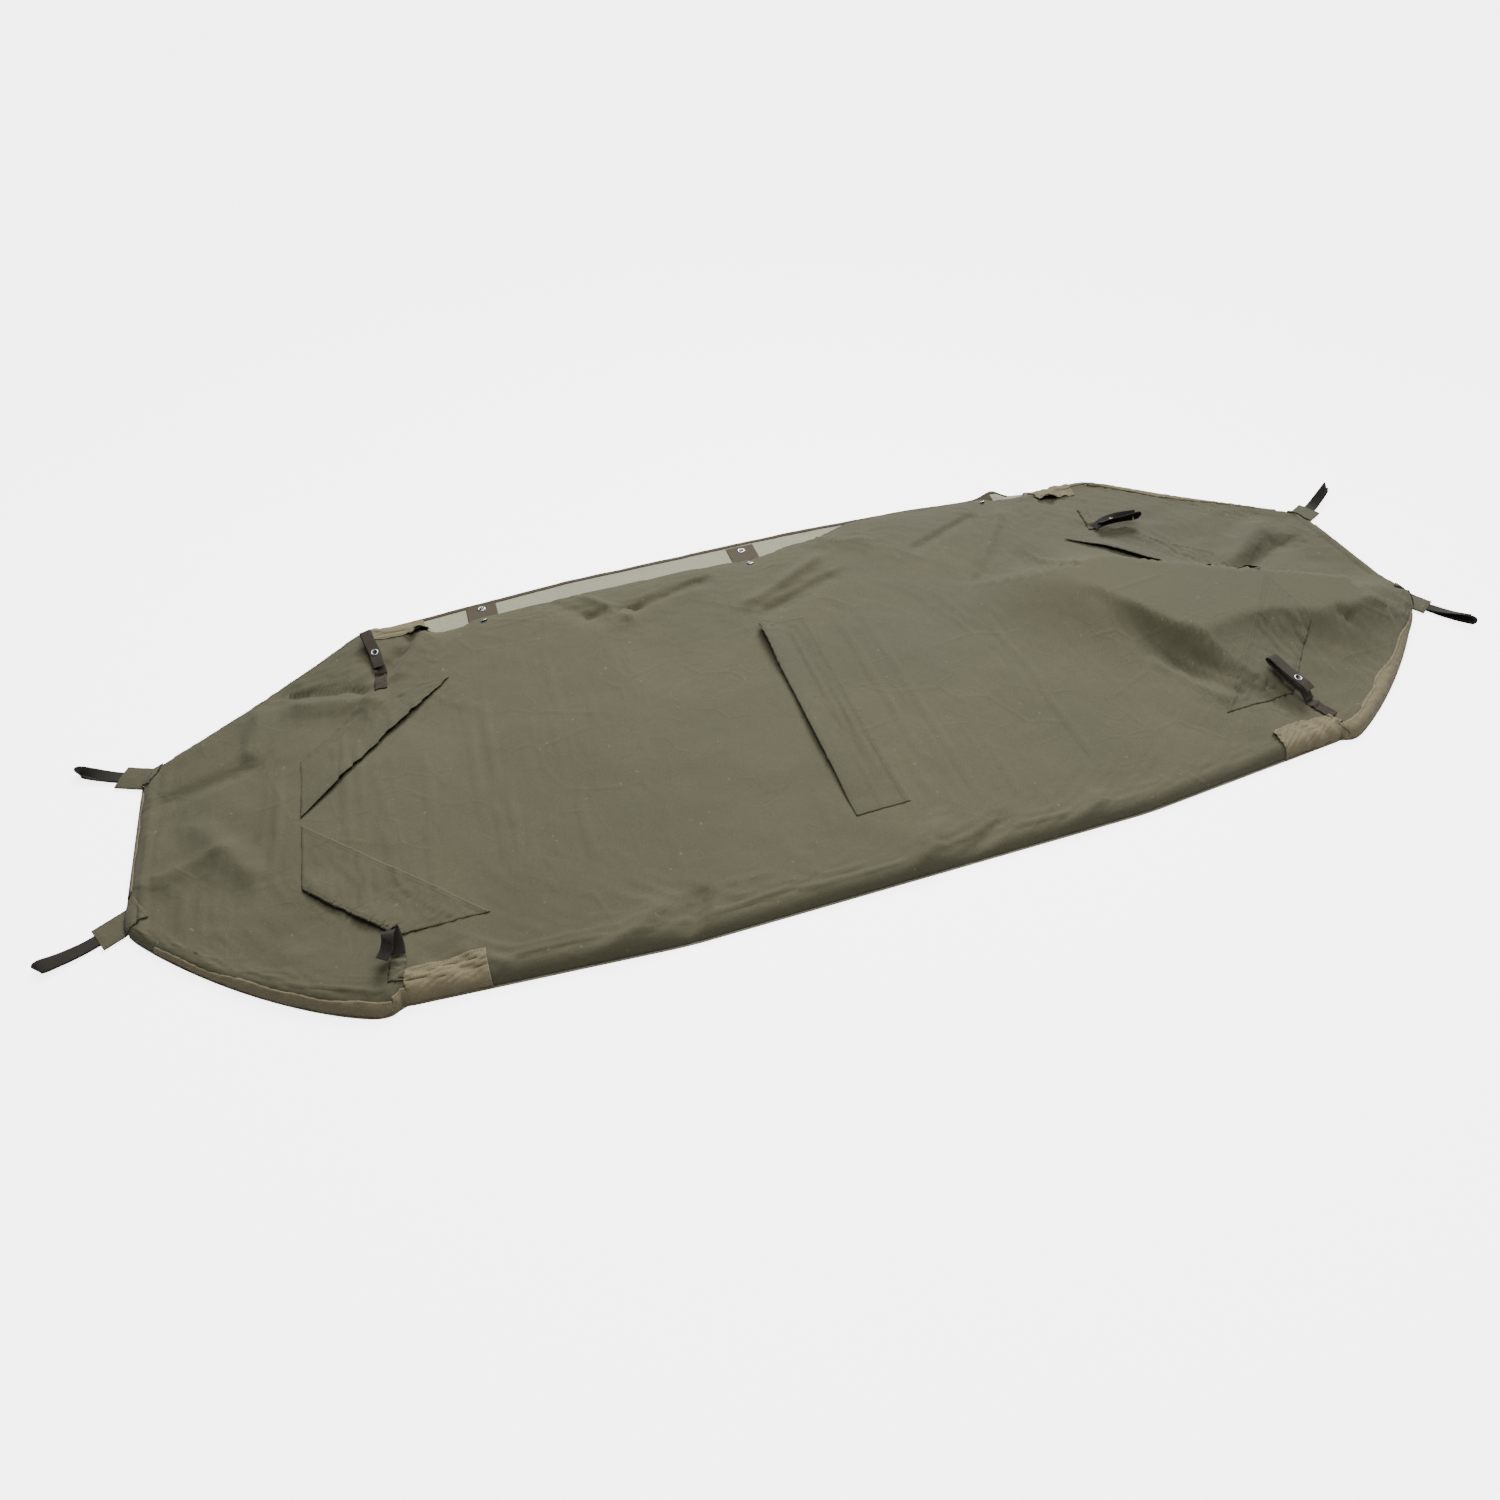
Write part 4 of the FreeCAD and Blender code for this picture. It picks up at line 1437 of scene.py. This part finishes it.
class COVER_OT_snap_straps(bpy.types.Operator):
    """Sew on the four webbing straps, each closed on itself by a press stud"""

    bl_idname = "cover.snap_straps"
    bl_label = "Snap straps"

    ring_beneath = ("near_left", "far_right")

    # foot outer end, foot inner end, bearing; under leg and over leg as (along, sideways, up); twist
    straps = {
        "far_left": (
            (-0.722, 0.216), (-0.722, 0.268), 96.0,
            (
                (0.0, 0, 0.001), (0.012, 0, 0.007), (0.022, 0.001, 0.006), (0.040, 0.002, 0.013),
                (0.066, 0.004, 0.022), (0.084, 0.006, 0.026)
            ),
            (
                (0.084, 0.006, 0.026), (0.0885, 0.006, 0.029), (0.084, 0.005, 0.0325),
                (0.060, 0.003, 0.028), (0.036, 0, 0.021), (0.018, 0, 0.0165), (0.006, 0, 0.012)
            ),
            0.036, 6, "brown_webbing",
        ),
        "near_left": (
            (-0.740, -0.372), (-0.733, -0.335), 84.0,
            (
                (0.0, 0, 0.001), (0.010, 0, 0.009), (0.018, 0.001, 0.020), (0.022, 0.002, 0.028),
                (0.018, 0.004, 0.0325)
            ),
            (
                (0.018, 0.004, 0.0325), (0.012, 0.005, 0.0340), (0.006, 0.006, 0.031),
                (0.004, 0.007, 0.026), (-0.004, 0.010, 0.0205), (-0.014, 0.016, 0.017)
            ),
            0.014, 22, "dark_webbing",
        ),
        "near_right": (
            (0.744, -0.362), (0.726, -0.322), 106.0,
            (
                (0.0, 0, 0.001), (0.014, 0, 0.011), (0.030, 0, 0.013), (0.055, -0.001, 0.017),
                (0.084, -0.003, 0.024)
            ),
            (
                (0.084, -0.003, 0.024), (0.089, -0.003, 0.028), (0.084, -0.003, 0.032),
                (0.058, -0.001, 0.028), (0.034, 0, 0.025), (0.018, 0, 0.0235), (0.006, 0, 0.019)
            ),
            0.032, 0, "brown_webbing",
        ),
        "far_right": (
            (0.676, 0.292), (0.664, 0.226), -4.0,
            (
                (0.0, 0, 0.002), (0.012, 0.001, 0.009), (0.030, 0.004, 0.012),
                (0.055, 0.004, 0.014), (0.080, 0.000, 0.016)
            ),
            (
                (0.080, 0.000, 0.016), (0.086, -0.001, 0.0185), (0.080, -0.003, 0.021),
                (0.056, -0.004, 0.019), (0.034, -0.003, 0.017), (0.020, -0.002, 0.015),
                (0.008, -0.004, 0.014)
            ),
            0.030, 58, "dark_webbing",
        ),
    }

    def execute(self, context):
        sizes = context.scene.cover_sizes
        width, thick = sizes.webbing_width, sizes.webbing
        for corner, (out, foot_in, bearing, under, over, stud_at, turn, band) in self.straps.items():
            end = corner.split("_")[1] + "_end"
            tape = [finish("brown_webbing") if band == "brown_webbing" else finish("strip_canvas")]
            band = [finish(band)]
            out, foot_in = Vector(out), Vector(foot_in)
            side = (foot_in - out).normalized()
            side = Vector((-side.y, side.x))

            def place(u, t):
                spot = out.lerp(foot_in, u) + side * (width * (t - 0.5))
                return spot.x, spot.y

            def lift(u, t):
                return 0.0024 + 0.0016 * ease((u - 0.55) / 0.2) * math.sin(19 * u)

            name = "snap_tape_" + corner

            foot = laid(name, 26, 8, place, lift, tape, thick, along_roll(place, lift, width))
            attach(foot, end)
            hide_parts("snap_foot_" + corner)
            seat = on_cloth(foot_in.x, foot_in.y, 0.0026)
            rows = [
                (0.06, mix(0.1, 0.9, k / 12)) for k in range(13)
            ], [(u, 0.1) for u in inclusive(0.06, 0.5, 12)], [(u, 0.9) for u in inclusive(0.06, 0.5, 12)]
            for number, row in enumerate(rows):
                points = [on_cloth(*place(u, t), lift(u, t) + 0.0001) for u, t in row]
                seam = stitches("%s_stitching_%d" % (name, number), points, 0.0036, finish("thread"))
                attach(seam, end)
            low = strap_path(seat, bearing, under)
            high = strap_path(seat, bearing, over)
            last = turn

            def under_twist(u, last=last):
                return last * ease(u)

            def over_twist(u, last=last):
                return last * (1 - 0.35 * u)

            loop = ribbon("snap_under_" + corner, low, width, thick, band, under_twist)
            leg = ribbon("snap_over_" + corner, high, width, thick, band, over_twist)
            for piece, nodes_replaced in (
                (loop, ["snap_loop_" + corner]), (leg, ["snap_leg_" + corner])
            ):
                size = flat_size(piece.data)
                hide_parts(*nodes_replaced)
                beneath("upper", piece)
            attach(loop, "snap_" + corner)
            tip = high[0]
            inner = tip.lerp(high[3], 0.30)
            tuple(tip)
            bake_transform(leg)
            best = min(
                range(61),
                key=lambda k: abs(
                    (smooth_path(high, k / 60)[0] - seat).to_2d().length - stud_at
                ) + (0.05 if k < 18 else 0)
            )
            centre, tangent = smooth_path(high, best / 60)
            across = Vector((-math.sin(math.radians(bearing)), math.cos(math.radians(bearing)), 0))
            across = Matrix.Rotation(math.radians(over_twist(best / 60)), 3, tangent) @ across
            normal = tangent.cross(across)
            outward = Vector((0, 1, -0.3)) if corner in self.ring_beneath else Vector((0, 0, 1))
            if normal.dot(outward) < 0:
                normal.negate()
            ring = [
                (0.0, -0.0002), (0.0066, -0.0002), (0.0070, 0.0006), (0.0062, 0.0014), (0.0046, 0.0015),
                (0.0040, 0.0009), (0.0036, 0.0003), (0.0, 0.0002),
            ]
            # The ring's hole takes the near-black metal, painted shade inside the hole.
            rim = turned(
                "snap_ring_" + corner, ring, centre + normal * thick / 2, normal,
                [finish("bright_metal"), finish("painted_shade_metal")],
                lambda c: 1 if Vector((c.x, c.y)).length < 0.0041 else 0,
            )
            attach(rim, "snap_leg_" + corner)
            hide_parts("snap_socket_" + corner)
            post = [
                (0.0, -0.0045), (0.0028, -0.0045), (0.0034, -0.0040), (0.0034, -0.0022),
                (0.0060, -0.0016), (0.0062, -0.0010), (0.0, -0.0008)
            ]
            between = centre + normal * (0.0055 if corner in self.ring_beneath else -0.0002)
            pin = turned("snap_pin_" + corner, post, between, normal, [finish("bright_metal")])
            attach(pin, "snap_" + corner)
            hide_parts("snap_stud_" + corner)
        return {"FINISHED"}


class COVER_OT_end_loops(bpy.types.Operator):
    """Sew a cloth tab and a webbing loop to each end corner"""

    bl_idname = "cover.end_loops"
    bl_label = "End loops"

    # corner, bearing, the loop's line as (along, sideways, up), twist at its end in degrees
    ends = {
        "far_left": (
            (-1.096, 0.142), 157.0,
            ((0, 0, 0.0010), (
                0.024, 0.001, 0.0012
            ), (0.048, 0.001, 0.002), (0.066, 0, 0.003), (0.0725, 0, 0.0065),
             (0.066, 0, 0.0100), (0.046, 0.001, 0.0078), (0.022, 0.001, 0.0045), (0, 0, 0.0030)),
            62,
        ),
        "near_left": (
            (-1.096, -0.142), 208.0,
            ((0, 0, 0.0010), (0.026, -0.001, 0.0012), (0.052, -0.004, 0.0015), (0.072, -0.007, 0.002), (
                0.0775, -0.008, 0.0065
            ),
             (0.072, -0.007, 0.0105), (0.052, -0.004, 0.0065), (0.024, -0.001, 0.0035), (0, 0, 0.0030)),
            26,
        ),
        "near_right": (
            (1.096, -0.142), 300.0,
            ((0, 0, 0.0010), (0.024, 0.002, 0.0015), (0.050, 0.006, 0.002), (0.068, 0.010, 0.003), (
                0.0735, 0.011, 0.0065
            ),
             (0.068, 0.010, 0.0100), (0.048, 0.006, 0.0085), (0.022, 0.002, 0.0050), (0, 0, 0.0030)),
            48,
        ),
        "far_right": (
            (1.096, 0.142), 26.0,
            ((0, 0, 0.0010), (0.020, 0, 0.004), (0.042, 0.001, 0.013), (0.058, 0.002, 0.022), (
                0.0625, 0.002, 0.0265
            ),
             (0.057, 0.001, 0.0275), (0.038, 0, 0.0175), (0.018, 0, 0.0075), (0, 0, 0.0030)),
            -50,
        ),
    }

    def execute(self, context):
        sizes = context.scene.cover_sizes
        for corner, (start, bearing, line, turn) in self.ends.items():
            end = corner.split("_")[1] + "_end"
            b = math.radians(bearing)
            ahead, aside = Vector((math.cos(b), math.sin(b))), Vector((-math.sin(b), math.cos(b)))
            width, inside, outside = 0.044, 0.026, 0.040

            def place(u, t):
                spot = Vector(start) + ahead * mix(-inside, outside, u) + aside * (width * (t - 0.5))
                return spot.x, spot.y

            def lift(u, t):
                ripple = 0.0009 * noise.noise(Vector((u * 5, t * 4, bearing)))
                return 0.0026 + max(0.0, ripple) + 0.0012 * math.sin(math.pi * t) * ease(u)

            name = "end_tab_cloth_" + corner
            tab = laid(
                name, 40, 26, place, lift, [finish("olive_canvas")], 0.0020,
                along_roll(place, lift, width)
            )
            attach(tab, end)
            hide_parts("end_tab_" + corner)
            rows = (
                [(0.06, t) for t in inclusive(0.06, 0.94, 20)],
                [(0.93, t) for t in inclusive(0.06, 0.94, 20)],
                [(u, 0.06) for u in inclusive(0.06, 0.93, 24)],
                [(u, 0.94) for u in inclusive(0.06, 0.93, 24)],
            )
            for number, row in enumerate(rows):
                points = [on_cloth(*place(u, t), lift(u, t) + 0.0001) for u, t in row]
                seam = stitches(
                    "%s_stitching_%d" % (name, number), points, sizes.stitch, finish("thread")
                )
                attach(seam, end)
            root = Vector(start) + ahead * (outside - 0.003)
            path = strap_path(Vector((root.x, root.y, 0.0012)), bearing, line)

            def twist(u, turn=turn):
                return turn * math.sin(math.pi * u) ** 2

            loop = ribbon(
                "end_loop_band_" + corner, path, sizes.webbing_width, 0.0013,
                [finish("dark_webbing")], twist, segments=110,
            )
            for v in loop.data.vertices:
                v.co.z = max(0.0005, v.co.z)
            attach(loop, "loop_" + corner)
            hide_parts("end_loop_" + corner)
            flat_size(loop.data)
        return {"FINISHED"}


class COVER_PT_panel(bpy.types.Panel):
    """Lists the steps that build the cover"""

    bl_idname = "COVER_PT_panel"
    bl_label = "Stretcher cover"
    bl_space_type = "VIEW_3D"
    bl_region_type = "UI"
    bl_category = "Cover"

    def draw(self, context):
        for group in (context.scene.cover_sizes, context.scene.cover_colours):
            box = self.layout.box()
            for name in group.__annotations__:
                box.prop(group, name)
        for operator in OPERATORS:
            self.layout.operator(operator.bl_idname)


OPERATORS = (
    COVER_OT_stage,
    COVER_OT_upper_cloth,
    COVER_OT_lower_cloth,
    COVER_OT_mouth_trim,
    COVER_OT_hems,
    COVER_OT_corner_patches,
    COVER_OT_strip_pockets,
    COVER_OT_snap_straps,
    COVER_OT_end_loops,
)
CLASSES = (CoverSizes, CoverColours, *OPERATORS, COVER_PT_panel)


def register():
    for item in CLASSES:
        bpy.utils.register_class(item)
    bpy.types.Scene.cover_sizes = PointerProperty(type=CoverSizes)
    bpy.types.Scene.cover_colours = PointerProperty(type=CoverColours)


def unregister():
    del bpy.types.Scene.cover_colours
    del bpy.types.Scene.cover_sizes
    for item in reversed(CLASSES):
        bpy.utils.unregister_class(item)


def main():
    register()
    bpy.ops.cover.stage()
    bpy.ops.cover.upper_cloth()
    bpy.ops.cover.lower_cloth()
    bpy.ops.cover.mouth_trim()
    bpy.ops.cover.hems()
    bpy.ops.cover.corner_patches()
    bpy.ops.cover.strip_pockets()
    bpy.ops.cover.snap_straps()
    bpy.ops.cover.end_loops()


if __name__ == "__main__":
    main()
